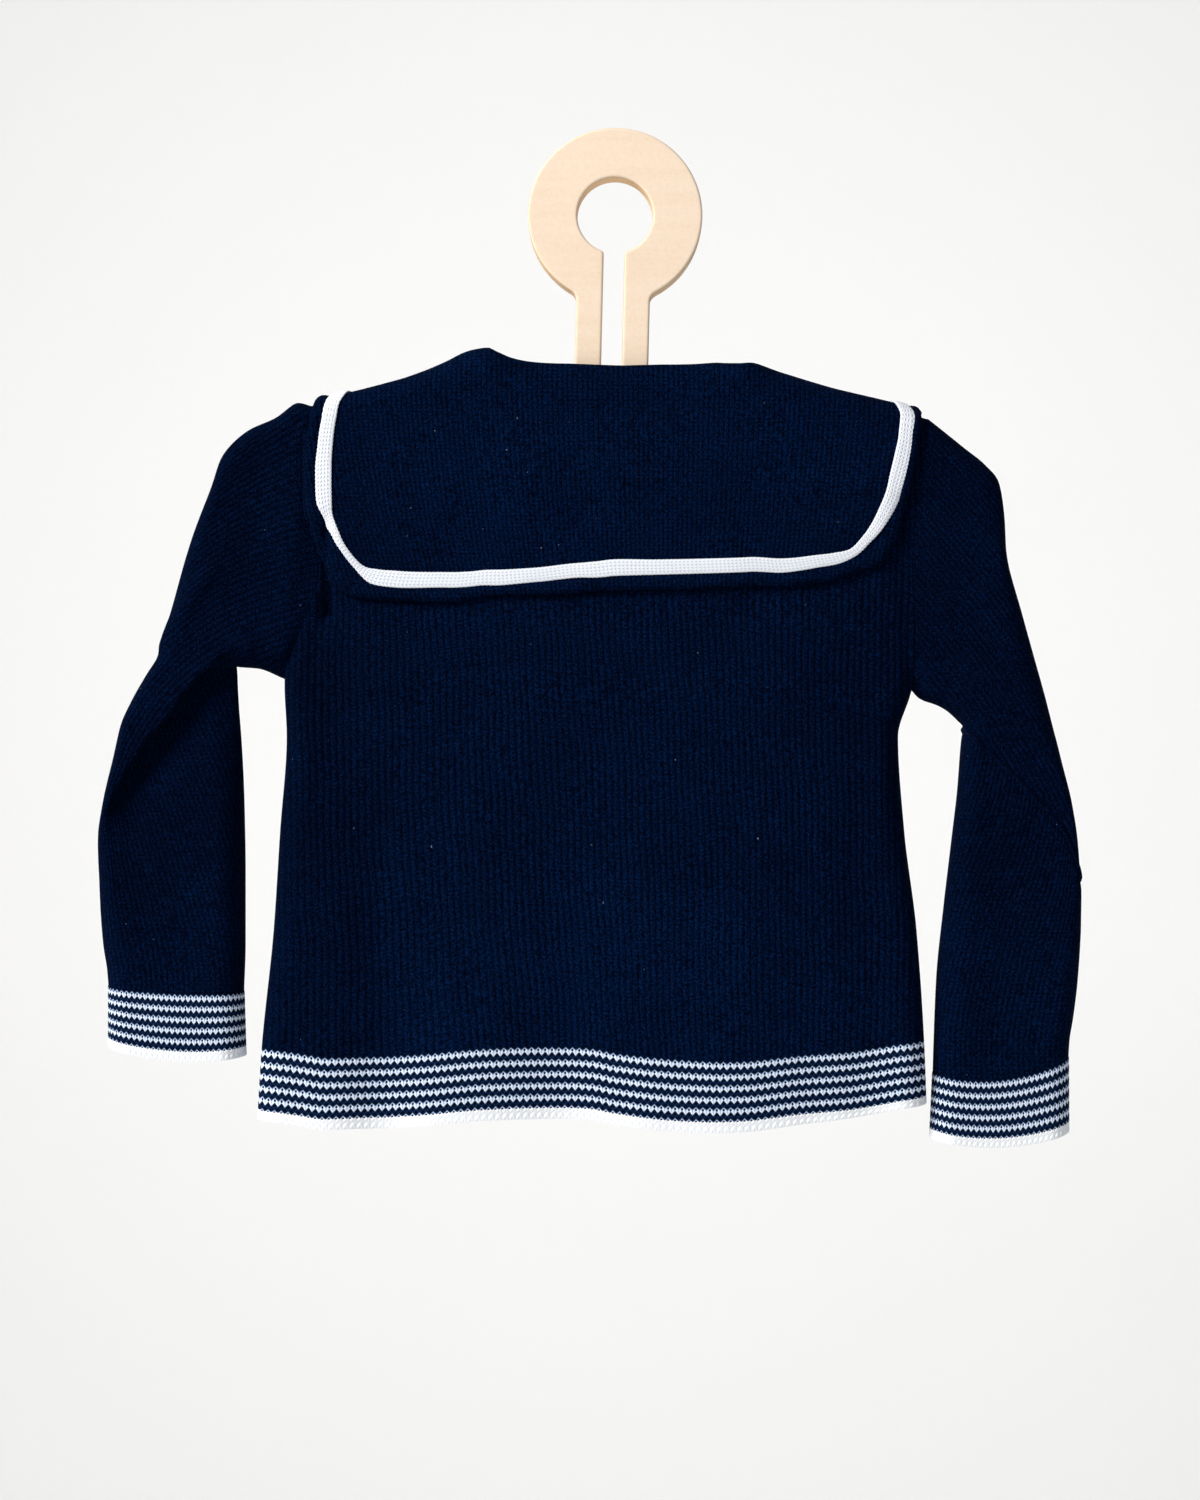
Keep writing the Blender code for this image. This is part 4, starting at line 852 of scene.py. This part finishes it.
# Height of the fold's line at lengths of cloth from it: a ridge between two grooves, or,
# for a size below 0, one groove on the front half.
def foldLine(size, distance, onBack):
    if size < 0:
        return np.where(onBack, 0, size * np.exp(-(distance / 2.2) ** 2))
    grooves = np.exp(-((distance - 2.6) / 1.1) ** 2) + np.exp(-((distance + 2.6) / 1.1) ** 2)
    return size * np.exp(-(distance / 1.7) ** 2) - 0.9 * size * grooves


def addSleeve(word, sleeve):
    rings = np.array(sleeve["rings"])
    count = sleeves["columns"]
    places = ringPlaces(rings)
    grid = np.array([ringCurve(sleeve, ring, count) for ring in smoothTable(places, rings)])
    # the first ring lies on the armhole's edge, and a few rings carry that change on
    seam = armholeCurve(sleeve["seamU"], count) - grid[0]
    grid = grid + seam[None] * (1 - ease(places / sleeves["carry"]))[:, None, None]

    half = count // 2
    onBack = np.arange(count)[None, :] < half
    fromFolds = np.minimum(np.arange(count) % half, half - np.arange(count) % half) / half
    distance = np.cumsum(np.linalg.norm(np.gradient(grid, axis=0), axis=2), axis=0)
    distance = distance - distance[np.argmin(np.abs(places - sleeve["creaseRing"]))]
    x, z = grid[..., 0], grid[..., 2]
    creases = np.where(onBack, creaseHeight(x, z, sleeve["creases"]),
                       creaseHeight(x, z, sleeve["frontCreases"]))
    relief = (foldLine(sleeve["creaseSize"], distance, onBack) * ease(fromFolds / 0.06)
              + creases * ease(fromFolds / 0.12)) * ease(places / 0.8)[:, None]

    # above the crease the ribs follow the sleeve's own terms, under it they hang down
    closed = np.concatenate([grid, grid[:, :1]], axis=1)
    unitX = (closed[..., 0] - sleeve["ribCentre"][0]) / sleeves["ribUnit"]
    unitZ = (closed[..., 2] - sleeve["ribCentre"][1]) / sleeves["ribUnit"]
    ribs = sum(term * unitX ** i * unitZ ** j for i, j, term in sleeve["ribTerms"])
    down = sleeves["ribUnit"] * (unitX * sleeve["ribAlong"][0] + unitZ * sleeve["ribAlong"][1])
    upper = np.stack([ribs, down / body["stitchRow"]], axis=-1)
    girth = np.linalg.norm(np.diff(closed, axis=1, prepend=closed[:, :1]), axis=2).cumsum(axis=1)
    lower = np.stack([girth / sleeves["rib"], -closed[..., 2] / body["stitchRow"]], axis=-1)
    piece = addShell("sleeve" + word, grid, relief, sleeves["wall"], (2, 4), upper, navyKnit,
                     grid.mean(axis=1, keepdims=True), wrap=True, lower=lower,
                     splitRow=int(np.argmin(np.abs(places - sleeve["split"]))))
    dress(piece, ["sleeve_" + word.lower()])


# The cuff and its white edge go on from the sleeve's last ring.
def addCuff(word, sleeve):
    last, end = np.array(sleeve["rings"][-1]), np.array(sleeve["cuffEnd"])
    columns = sleeves["cuffStitches"] * sleeves["cuffColumns"]
    stitches = np.arange(columns + 1)[None, :] / sleeves["cuffColumns"]
    for part, node, shares, stripes, rowCount, slotName in (
            ("cuffEdge", "cuff_edge_", (sleeve["cuffBand"], 1.0),
             (sleeves["cuffStripes"], sleeves["edgeStripes"]), sleeves["edgeRows"], "white_knit"),
            ("cuff", "cuff_", (0.004, sleeve["cuffBand"]),
             (0.0, sleeves["cuffStripes"]), sleeves["cuffRows"], "striped_knit")):
        cuff = np.array([ringCurve(sleeve, last + (end - last) * share, columns)
                         for share in np.linspace(*shares, rowCount + 1)])
        stripe = np.linspace(*stripes, rowCount + 1)[:, None]
        both = np.stack(np.broadcast_arrays(stitches, stripe), axis=-1)
        lift = sleeves["cuffRelief"] * stitchRelief(stitches[:, :-1], stripe)
        piece = addShell(part + word, cuff, lift, sleeves["cuffWall"], (2, sleeves["cuffColumns"]),
                         both, stripedKnit, cuff.mean(axis=1, keepdims=True), wrap=True)
        dress(piece, [node + word.lower()])


for word, sleeve in (("Left", leftSleeve), ("Right", rightSleeve)):
    addSleeve(word, sleeve)
    addCuff(word, sleeve)
print("sleeves and cuffs made")


# Collar and braid

# Each ray from the neck to the collar's edge, from the tip of the left lapel round the
# back: its side, its x on the neck, its x and z at the edge, and how high it stands.
collar = {
    "rays": [
        (front, 1.6, 1.6, -199.0, 3.0), (front, -8.0, -22.0, -190.0, 3.0),
        (front, -21.0, -54.0, -175.5, 3.0), (front, -34.0, -85.0, -156.5, 3.0),
        (front, -45.0, -112.0, -135.0, 3.0), (front, -51.0, -126.0, -120.0, 3.0),
        (front, -54.5, -133.0, -110.0, 2.9), (front, -56.2, -135.4, -104.8, 2.8),
        (back, -56.6, -136.4, -103.2, 2.8), (back, -56.2, -137.4, -105.6, 2.7),
        (back, -55.2, -139.0, -112.0, 2.6), (back, -53.6, -140.8, -122.0, 2.5),
        (back, -51.4, -141.8, -138.0, 2.6), (back, -48.4, -140.2, -152.0, 2.6),
        (back, -44.6, -136.6, -168.0, 2.8), (back, -40.0, -131.6, -181.0, 3.1),
        (back, -34.0, -122.0, -191.0, 3.6), (back, -27.0, -98.0, -194.2, 4.2),
        (back, -19.0, -66.0, -193.4, 4.8), (back, -9.0, -32.0, -191.4, 5.1),
        (back, 2.0, 0.0, -189.6, 5.3), (back, 13.0, 32.0, -189.0, 6.0),
        (back, 23.0, 62.0, -187.6, 6.5), (back, 32.0, 88.0, -186.8, 6.6),
        (back, 39.6, 108.0, -181.6, 6.6), (back, 45.0, 121.0, -176.4, 6.4),
        (back, 49.6, 129.0, -163.0, 5.4), (back, 53.4, 133.6, -146.0, 4.2),
        (back, 56.6, 136.8, -130.0, 2.9), (back, 59.0, 138.8, -118.0, 1.7),
        (back, 60.2, 139.4, -111.0, 1.1), (back, 60.7, 139.4, -108.4, 0.9),
        (front, 60.3, 138.4, -110.4, 1.1), (front, 58.6, 135.6, -116.0, 1.8),
        (front, 55.0, 128.6, -126.0, 2.8), (front, 48.0, 114.0, -141.0, 3.2),
        (front, 37.0, 87.0, -160.5, 3.0), (front, 24.0, 56.0, -177.5, 3.0),
        (front, 11.0, 25.0, -191.0, 3.0), (front, 1.6, 1.6, -199.0, 3.0),
    ],
    "firstBack": 8, "lastBack": 31, "lapelGap": 0.4,
    "wall": 1.8, "lift": 1.3, "roll": 1.25, "endRoll": 2.0, "settle": 0.18, "loft": 0.5,
    "rayCount": 721, "steps": 57, "rib": 2.3, "row": 1.7,
    # where the collar stands off the shoulders beside the neck: x, width, height
    "neckLifts": [(-61, 15.5, 4.4), (62, 20, 2.1)],
    "curl": 1.0, "cut": (0.285, 0.165), "area": 0.047,
    "creases": [(-70, -120, -84, -165, 12, 0.5), (-20, -110, -24, -176, 15, -0.5),
                (44, -112, 52, -172, 14, 0.5), (96, -120, 106, -160, 9, -0.4),
                (-104, -148, -84, -152, 13, 0.9), (-116, -124, -108, -168, 8, -0.4),
                (128, -124, 120, -160, 5, 0.4)],
}


collarCentre = np.array([0.0, 0.0, -140.0])


# Direction out of a panel's cloth, from short steps along it.
def panelNormal(u, v, side):
    h = 1e-4
    across = panelPoint(np.minimum(u + h, 1), v, side) - panelPoint(np.maximum(u - h, 0), v, side)
    down = panelPoint(u, v + h, side) - panelPoint(u, v, side)
    return unit(np.cross(across, down)) * side


# Middle of the panel's wall along its top edge, at places x across the neck.
def neckSeam(x, side):
    u = np.linspace(0, 1, 1201)
    v = np.zeros(len(u))
    seam = panelPoint(u, v, side) - body["wall"] / 2 * panelNormal(u, v, side) * (1, 1, 0)
    return np.stack([np.interp(x, seam[:, 0], seam[:, k]) for k in range(3)], axis=1)


rays = np.array(collar["rays"], float)
edgeDrop = np.maximum(shoulderHeight(rays[:, 2]) - rays[:, 3], 0)
# per ray: its x on the neck, its x at the edge, its cloth at the edge, how high it stands
rayTable = np.stack([rays[:, 1], rays[:, 2], -rays[:, 0] * clothOf(edgeDrop), rays[:, 4]], axis=1)
fineIndex = np.linspace(0, len(rays) - 1, 4001)
fineTable = smoothTable(fineIndex, rayTable)
fineNeck, fineEdge = fineTable[:, 0], fineTable[:, 1:3]
fineDepth = body["neckHalfDepth"] * (1 - np.abs(neckShare(fineNeck)) ** 6) ** (1 / 6)
# rays spaced by steps along the edge and the neck, the neck's counting three times
edgeSteps = np.hypot(np.linalg.norm(np.diff(fineEdge, axis=0), axis=1),
                     3 * np.hypot(np.diff(fineNeck), np.diff(fineDepth)))
edgeAlong = np.concatenate([[0], np.cumsum(edgeSteps)])
rayPlaces = np.interp(np.linspace(0, edgeAlong[-1], collar["rayCount"]), edgeAlong, fineIndex)


def addCollar():
    table = smoothTable(rayPlaces, rayTable)
    neckX, edge, stand = table[:, 0], table[:, 1:3], table[:, 3]
    onBack = (rayPlaces >= collar["firstBack"]) & (rayPlaces <= collar["lastBack"])
    side = np.where(onBack, back, front)
    # the two lapels part by a small gap at the V's tip
    fromTip = np.maximum(rayPlaces - len(rays) + 2, 0) - np.maximum(1 - rayPlaces, 0)
    gap = collar["lapelGap"] * fromTip
    share = neckShare(neckX)
    startCloth = -side * clothOf(np.where(onBack, neckDrop(neckX, back), neckDrop(neckX, front)))
    base = np.where(onBack[:, None], neckSeam(neckX, back), neckSeam(neckX, front))
    base[:, 0] += gap
    # square to the V's edge near its middle, upright at its tip and at the neck
    lean = -1.3 * np.sign(share) * np.minimum(1, 4 * np.abs(share)) * (1 - np.abs(share) ** 12)
    lean = np.where(onBack, 0, lean)
    inwards = unit(np.stack([lean, 0 * lean, 1 + 0 * lean], axis=1))
    # the neck is a rounded box: how far its outline has turned from straight across
    flat = (1 - np.abs(share) ** 6) ** (1 / 6)
    turned = np.arctan2(np.abs(share) ** 5 / (body["neckRight"] - body["neckLeft"]) * 2,
                        flat ** 5 / body["neckHalfDepth"])
    out = np.stack([np.sign(share) * np.sin(turned), side * np.cos(turned), 0 * turned], axis=1)

    thick = collar["wall"] / 2
    top = base + inwards * stand[:, None]
    roll = (collar["roll"] + collar["endRoll"] * np.abs(share) ** 12)[:, None]
    middle = top + roll * out
    # the roll turns right over behind the neck, but only to its top beside it
    atEnd = (np.abs(share) ** 8)[:, None]
    columns = [base + inwards * 0.5 - thick * out]
    for step in np.linspace(0, 1, 7):
        turn = pi * step * (1 - 0.5 * atEnd)
        columns.append(middle + (roll + thick) * (inwards * np.sin(turn) - out * np.cos(turn)))
    lift = collar["lift"] + collar["wall"]
    shares = np.linspace(0, 1, collar["steps"] + 1)[1:]
    x = (neckX + gap)[:, None] + (edge[:, :1] - neckX[:, None]) * shares
    cloth = startCloth[:, None] + (edge[:, 1:] - startCloth[:, None]) * shares
    loft = collar["loft"] * np.sin(pi * np.clip(shares / 0.5, 0, 1)) + 0 * x
    raised = sum(height * np.exp(-((x - place) / width) ** 2)
                 for place, width, height in collar["neckLifts"])
    sheet = overBody(x, cloth, lift + loft + raised * np.exp(-(cloth / 14) ** 2))
    # a cubic from the end of the roll to the place where the cloth lies on the body
    settled = int(np.argmin(np.abs(shares - collar["settle"])))
    t = (shares[:settled] / shares[settled])[None, :, None]
    landing = sheet[:, settled:settled + 1]
    onwards = (sheet[:, settled + 1:settled + 2] - landing) * (settled + 1)
    end = columns[-1][:, None]
    leave = (np.linalg.norm(landing - end, axis=2, keepdims=True)
             * ((0.55 + 0.45 * atEnd) * out - 0.8 * (1 - atEnd) * inwards)[:, None])
    sheet[:, :settled] = ((2 * t ** 3 - 3 * t ** 2 + 1) * end + (t ** 3 - 2 * t ** 2 + t) * leave
                          + (3 * t ** 2 - 2 * t ** 3) * landing + (t ** 3 - t ** 2) * onwards)
    grid = np.concatenate([np.stack(columns, axis=1), sheet], axis=1)

    # how far each point lies from the edge, measured square to it
    tangent = unit(np.gradient(edge, axis=0))
    toEdge = np.stack([edge[:, :1] - x, edge[:, 1:] - cloth], axis=-1)
    inset = np.abs(toEdge[..., 0] * tangent[:, 1:] - toEdge[..., 1] * tangent[:, :1])
    border = (collar["curl"] * np.exp(-((inset - 2.8) / 2.4) ** 2)
              - 0.5 * np.exp(-(inset / 0.8) ** 2))
    relief = np.zeros(grid.shape[:2])
    relief[:, 8:] = border + creaseHeight(x, grid[:, 8:, 2], collar["creases"]) * ease(inset / 6)
    # ribs draw together towards the lower edge
    fall = np.maximum(-grid[..., 2] - 100, 0)
    u = (grid[..., 0] - 20) * np.exp(0.00055 * fall + 0.00001 * fall ** 2) / collar["rib"]
    stitch = np.stack([u, -grid[..., 2] / collar["row"]], axis=-1)
    piece = addShell("collarCloth", grid, relief, collar["wall"], (2, 2), stitch, collarKnit,
                     collarCentre)
    dress(piece, ["collar"])
    return piece


collarPiece = addCollar()

# The braid's middle line: side, x, height as seen, and width, from the tip of the left
# lapel round the back to the tip of the right one.
braid = {
    "path": [
        (front, 0.8, -187.6, 6.6), (front, -18.0, -180.2, 6.6), (front, -49.0, -166.0, 6.6),
        (front, -79.0, -147.8, 6.6), (front, -105.0, -127.0, 6.6), (front, -118.0, -113.0, 6.4),
        (back, -126.0, -98.4, 6.8), (back, -128.6, -104.1, 6.0), (back, -130.8, -114.8, 6.3),
        (back, -131.9, -124.1, 6.5), (back, -132.6, -133.3, 6.9), (back, -132.5, -142.5, 6.7),
        (back, -132.2, -148.4, 6.4), (back, -131.1, -153.2, 5.0), (back, -128.6, -158.4, 3.2),
        (back, -126.6, -163.2, 2.3), (back, -125.0, -167.7, 2.3), (back, -121.5, -173.5, 2.4),
        (back, -117.2, -178.5, 2.6), (back, -114.2, -181.1, 3.6), (back, -109.0, -183.5, 6.1),
        (back, -99.4, -184.7, 6.8), (back, -81.8, -185.0, 6.4), (back, -63.4, -184.4, 6.4),
        (back, -54.5, -184.0, 6.8), (back, -36.0, -182.7, 6.1), (back, -17.9, -180.7, 6.2),
        (back, -8.7, -180.3, 6.9), (back, 0.4, -179.4, 7.1), (back, 18.8, -179.2, 6.5),
        (back, 37.2, -178.8, 6.3), (back, 55.6, -178.3, 6.2), (back, 73.7, -178.5, 5.9),
        (back, 82.5, -177.9, 5.4), (back, 91.2, -176.6, 5.0), (back, 100.0, -175.3, 4.6),
        (back, 108.1, -172.5, 3.2), (back, 113.8, -167.0, 3.5), (back, 118.9, -160.6, 4.5),
        (back, 122.9, -153.2, 5.2), (back, 125.9, -146.0, 5.4), (back, 128.4, -137.6, 6.4),
        (back, 130.5, -129.4, 6.6), (back, 132.1, -120.9, 6.2), (back, 132.7, -110.8, 6.0),
        (back, 130.5, -103.2, 5.6), (front, 120.0, -118.6, 6.4), (front, 107.0, -133.0, 6.6),
        (front, 81.0, -151.6, 6.6), (front, 51.0, -168.4, 6.6), (front, 21.0, -181.4, 6.6),
        (front, 2.4, -187.6, 6.6),
    ],
    "step": 0.46, "columns": 8, "wall": 0.9, "stitch": 1.84, "scallop": 0.3,
    "cut": (0.87, 0.0115), "area": 0.0062,
}


# Length of cloth down to a height seen on a layer lifted off the body.
def clothSeen(x, z, lift):
    radius = body["shoulderRound"]
    drop = shoulderHeight(x) - z
    turn = np.arccos(np.clip((radius - drop) / (radius + lift), 0, 1))
    return np.where(drop > radius, radius * pi / 2 + drop - radius, radius * turn)


def addBraid():
    path = np.array(braid["path"], float)
    lift = collar["lift"] + collar["wall"] + braid["wall"] + 0.1
    cloth = -path[:, 0] * clothSeen(path[:, 1], path[:, 2], lift)
    line = np.stack([path[:, 1], cloth, path[:, 3]], axis=1)
    curve = smoothTable(np.linspace(0, len(path) - 1, 6001), line)
    along = lengthAlong(curve[:, :2])
    count = int(along[-1] / braid["step"] / 4) * 4
    even = np.linspace(0, along[-1], count + 1)
    curve = np.stack([np.interp(even, along, curve[:, k]) for k in range(3)], axis=1)
    # even out the direction over a few millimetres
    direction = unit(np.gradient(curve[:, :2], axis=0))
    kernel = np.hanning(19) / np.hanning(19).sum()
    padded = np.pad(direction, ((9, 9), (0, 0)), mode="edge")
    direction = unit(np.stack([np.convolve(padded[:, k], kernel, "valid") for k in range(2)], axis=1))
    across = np.linspace(-1, 1, braid["columns"] + 1)[None, :]
    phase = even / braid["stitch"]
    scallop = braid["scallop"] * np.abs(np.sin(pi * phase))
    half = (curve[:, 2] / 2 + scallop)[:, None] * across
    x = curve[:, :1] - direction[:, 1:] * half
    cloth = curve[:, 1:2] + direction[:, :1] * half
    height = lift - 0.35 * np.abs(across) ** 6 + 0 * x
    plain = overBody(x, cloth, height)
    creases = creaseHeight(x, plain[..., 2], collar["creases"])
    plain = overBody(x, cloth, height + creases)
    ribs = 0.06 * np.abs(np.sin(pi * 2.5 * across)) * (1 - np.abs(across) ** 6)
    stitch = np.stack(np.broadcast_arrays(across * 2.5 + 0.5, phase[:, None]), axis=-1)
    piece = addShell("collarBraid", plain, ribs, braid["wall"] - 0.35, (4, 2), stitch, whiteKnit,
                     collarCentre)
    dress(piece, ["collar_trim"])
    return piece


braidPiece = addBraid()
print("collar and braid made")


# Hanger

plate = {
    "thickness": 12.0, "ring": 40.0, "hole": 17.3, "stem": 16.9, "slot": 4.75,
    "slotLength": 84.0, "stemFillet": 5.0, "slotFillet": 2.0, "tilt": 1.4,
    "halfSpan": 165.0, "crest": -73.5, "sag": 372.0, "armHeight": 26.0, "bevel": 1.1,
}


def arc(centreX, centreZ, radius, start, end, count):
    turns = np.radians(np.linspace(start, end, count))
    return np.stack([centreX + radius * np.cos(turns), centreZ + radius * np.sin(turns)], axis=1)


# Height of a fillet's centre below a circle's, and its direction there in degrees.
def filletPlace(radius, halfWidth, fillet):
    height = sqrt((radius + fillet) ** 2 - (halfWidth + fillet) ** 2)
    return height, degrees(asin((halfWidth + fillet) / (radius + fillet)))


def armLine(x):
    return plate["crest"] - x ** 2 / (2 * plate["sag"])


# Mirrors a half outline that runs from the top down its right side to the middle.
def bothHalves(right):
    return np.concatenate([right, (right[1:-1] * (-1, 1))[::-1]])


def plateOutline():
    stem, fillet, tip = plate["stem"], plate["stemFillet"], plate["armHeight"] / 2
    height, lean = filletPlace(plate["ring"], stem, fillet)
    root, tipX = stem + fillet, plate["halfSpan"] - tip
    slope = degrees(-tipX / plate["sag"])
    along = np.linspace(root, tipX, 24)
    under = np.linspace(tipX - 5, 0, 24)
    return bothHalves(np.concatenate([
        arc(0, 0, plate["ring"], 90, -90 + lean, 56),
        arc(root, -height, fillet, 90 + lean, 180, 8)[1:],
        arc(root, armLine(root) + fillet, fillet, 180, 270, 8),
        np.stack([along, armLine(along)], axis=1)[1:],
        arc(tipX, armLine(tipX) - tip, tip, 88 + slope, -88 + slope, 20),
        np.stack([under, armLine(under) - plate["armHeight"]], axis=1)]))


def keyholeOutline():
    slot, fillet = plate["slot"], plate["slotFillet"]
    height, lean = filletPlace(plate["hole"], slot, fillet)
    return bothHalves(np.concatenate([
        arc(0, 0, plate["hole"], 90, -90 + lean, 40),
        arc(slot + fillet, -height, fillet, 90 + lean, 180, 6)[1:],
        arc(0, slot - plate["slotLength"], slot, 0, -90, 9)]))


# Outline moved square to itself by a distance, to its left for a positive one.
def movedIn(line, distance):
    tangent = unit(np.roll(line, -1, axis=0) - np.roll(line, 1, axis=0))
    return line + distance * np.stack([-tangent[:, 1], tangent[:, 0]], axis=1)


def addHanger():
    tilt = radians(plate["tilt"])
    turn = np.array([[cos(tilt), -sin(tilt)], [sin(tilt), cos(tilt)]])
    half, bevel = plate["thickness"] / 2, plate["bevel"]
    # a quarter circle from the face to the edge, with one more row on the flat face
    quarter = np.linspace(0, pi / 2, 6)
    profile = [(bevel + 0.8, half)] + [(bevel * (1 - sin(a)), half - bevel * (1 - cos(a)))
                                       for a in quarter]
    profile = profile + [(inset, -y) for inset, y in reversed(profile)]
    points, faces, caps = [], [], [[], []]
    first = 0
    for line, inwards in ((plateOutline(), -1), (keyholeOutline(), 1)):
        count = len(line)
        for inset, y in profile:
            flat = movedIn(line, inwards * inset) @ turn - (0, plate["hole"])
            points.append(np.insert(flat, 1, -y, axis=1))
        ids = first + np.arange(len(profile) * count).reshape(len(profile), count)
        quads = gridQuads(ids, True)
        faces += (quads if inwards < 0 else quads[:, ::-1]).tolist()
        caps[0].append(ids[0])
        caps[1].append(ids[-1])
        first += ids.size
    points = np.concatenate(points)
    # the two flat faces, each with the keyhole cut out of it
    for rings, facing in ((caps[0], -1), (caps[1], 1)):
        order = np.concatenate(rings)
        lines = [[Vector((points[i][0], points[i][2], 0)) for i in ring] for ring in rings]
        for face in tessellate_polygon(lines):
            corner = points[order[list(face)]]
            up = np.cross(corner[1] - corner[0], corner[2] - corner[0])[1]
            faces.append([int(order[i]) for i in (face if up * facing > 0 else face[::-1])])
    corners = sum(len(face) for face in faces)
    piece = addPiece("hangerPly", points, faces, np.zeros((corners, 2)), birchPly, sharp=40)
    dress(piece, ["hanger"])


addHanger()
print("hanger made")


# Stage, light and camera

stage = {"floor": -1.36, "wall": 2.6, "top": 4.0, "halfWidth": 6.0, "nearest": -4.0, "curve": 0.8,
         "colour": (0.90, 0.895, 0.89), "pale": (0.895, 0.89, 0.885), "paler": (0.915, 0.91, 0.905)}


def addStage():
    turns = np.linspace(-pi / 2, 0, 13)
    radius, floor, wall = stage["curve"], stage["floor"], stage["wall"]
    y = np.concatenate([[stage["nearest"]], wall - radius + radius * np.cos(turns), [wall]])
    z = np.concatenate([[floor], floor + radius + radius * np.sin(turns), [stage["top"]]])
    points = [(x, a, b) for x in (-stage["halfWidth"], stage["halfWidth"]) for a, b in zip(y, z)]
    count = len(y)
    faces = [(k, k + count, k + count + 1, k + 1) for k in range(count - 1)]
    look = Looks("pale paper", stage["colour"])
    tone = look.noise(look.objectPlaces(), 1.4, 2)
    look.feed(look.shader.inputs["Base Color"], look.mix(tone, stage["pale"], stage["paler"]))
    look.shader.inputs["Roughness"].default_value = 0.9
    mesh = bpy.data.meshes.new("backdrop")
    mesh.from_pydata(points, [], faces)
    mesh.materials.append(look.material)
    mesh.shade_smooth()
    backdrop = bpy.data.objects.new("backdrop", mesh)
    bpy.context.scene.collection.objects.link(backdrop)


# name: place, point it faces, size, watts, colour
lights = {
    "key": ((-1.7, -1.15, 1.0), (0, 0, -0.25), 1.1, 81, (1.0, 0.985, 0.96)),
    "fill": ((1.8, -1.9, 0.1), (0, 0, -0.25), 1.8, 6, (0.94, 0.97, 1.0)),
    "behind": ((0.7, 0.12, 0.2), (0.7, 2.6, 0.2), 3.0, 22.5, (1.0, 0.995, 0.99)),
}
room = {"colour": (0.94, 0.97, 1.0, 1), "strength": 0.34}


def addLights():
    for name, (place, target, size, watts, colour) in lights.items():
        light = bpy.data.lights.new(name, "AREA")
        light.shape = "DISK"
        light.size = size
        light.energy = watts
        light.color = colour
        lamp = bpy.data.objects.new(name, light)
        lamp.location = place
        lamp.rotation_euler = (Vector(target) - Vector(place)).to_track_quat("-Z", "Y").to_euler()
        lamp.visible_camera = False
        bpy.context.scene.collection.objects.link(lamp)
    world = bpy.data.worlds.new("room")
    world.use_nodes = True
    background = world.node_tree.nodes["Background"]
    background.inputs["Color"].default_value = room["colour"]
    background.inputs["Strength"].default_value = room["strength"]
    bpy.context.scene.world = world


view = {"place": (-0.0069, -1.150, -0.2622), "lens": 50, "sensor": 30, "nearest": 0.05}


# The camera looks level along +Y.
def addCamera():
    camera = bpy.data.cameras.new("camera")
    camera.lens = view["lens"]
    camera.sensor_width = view["sensor"]
    camera.clip_start = view["nearest"]
    holder = bpy.data.objects.new("camera", camera)
    holder.location = view["place"]
    holder.rotation_euler = (pi / 2, 0, 0)
    bpy.context.scene.collection.objects.link(holder)
    bpy.context.scene.camera = holder
    bpy.context.scene.view_settings.view_transform = "Standard"


addStage()
addLights()
addCamera()
print("stage, light and camera set")
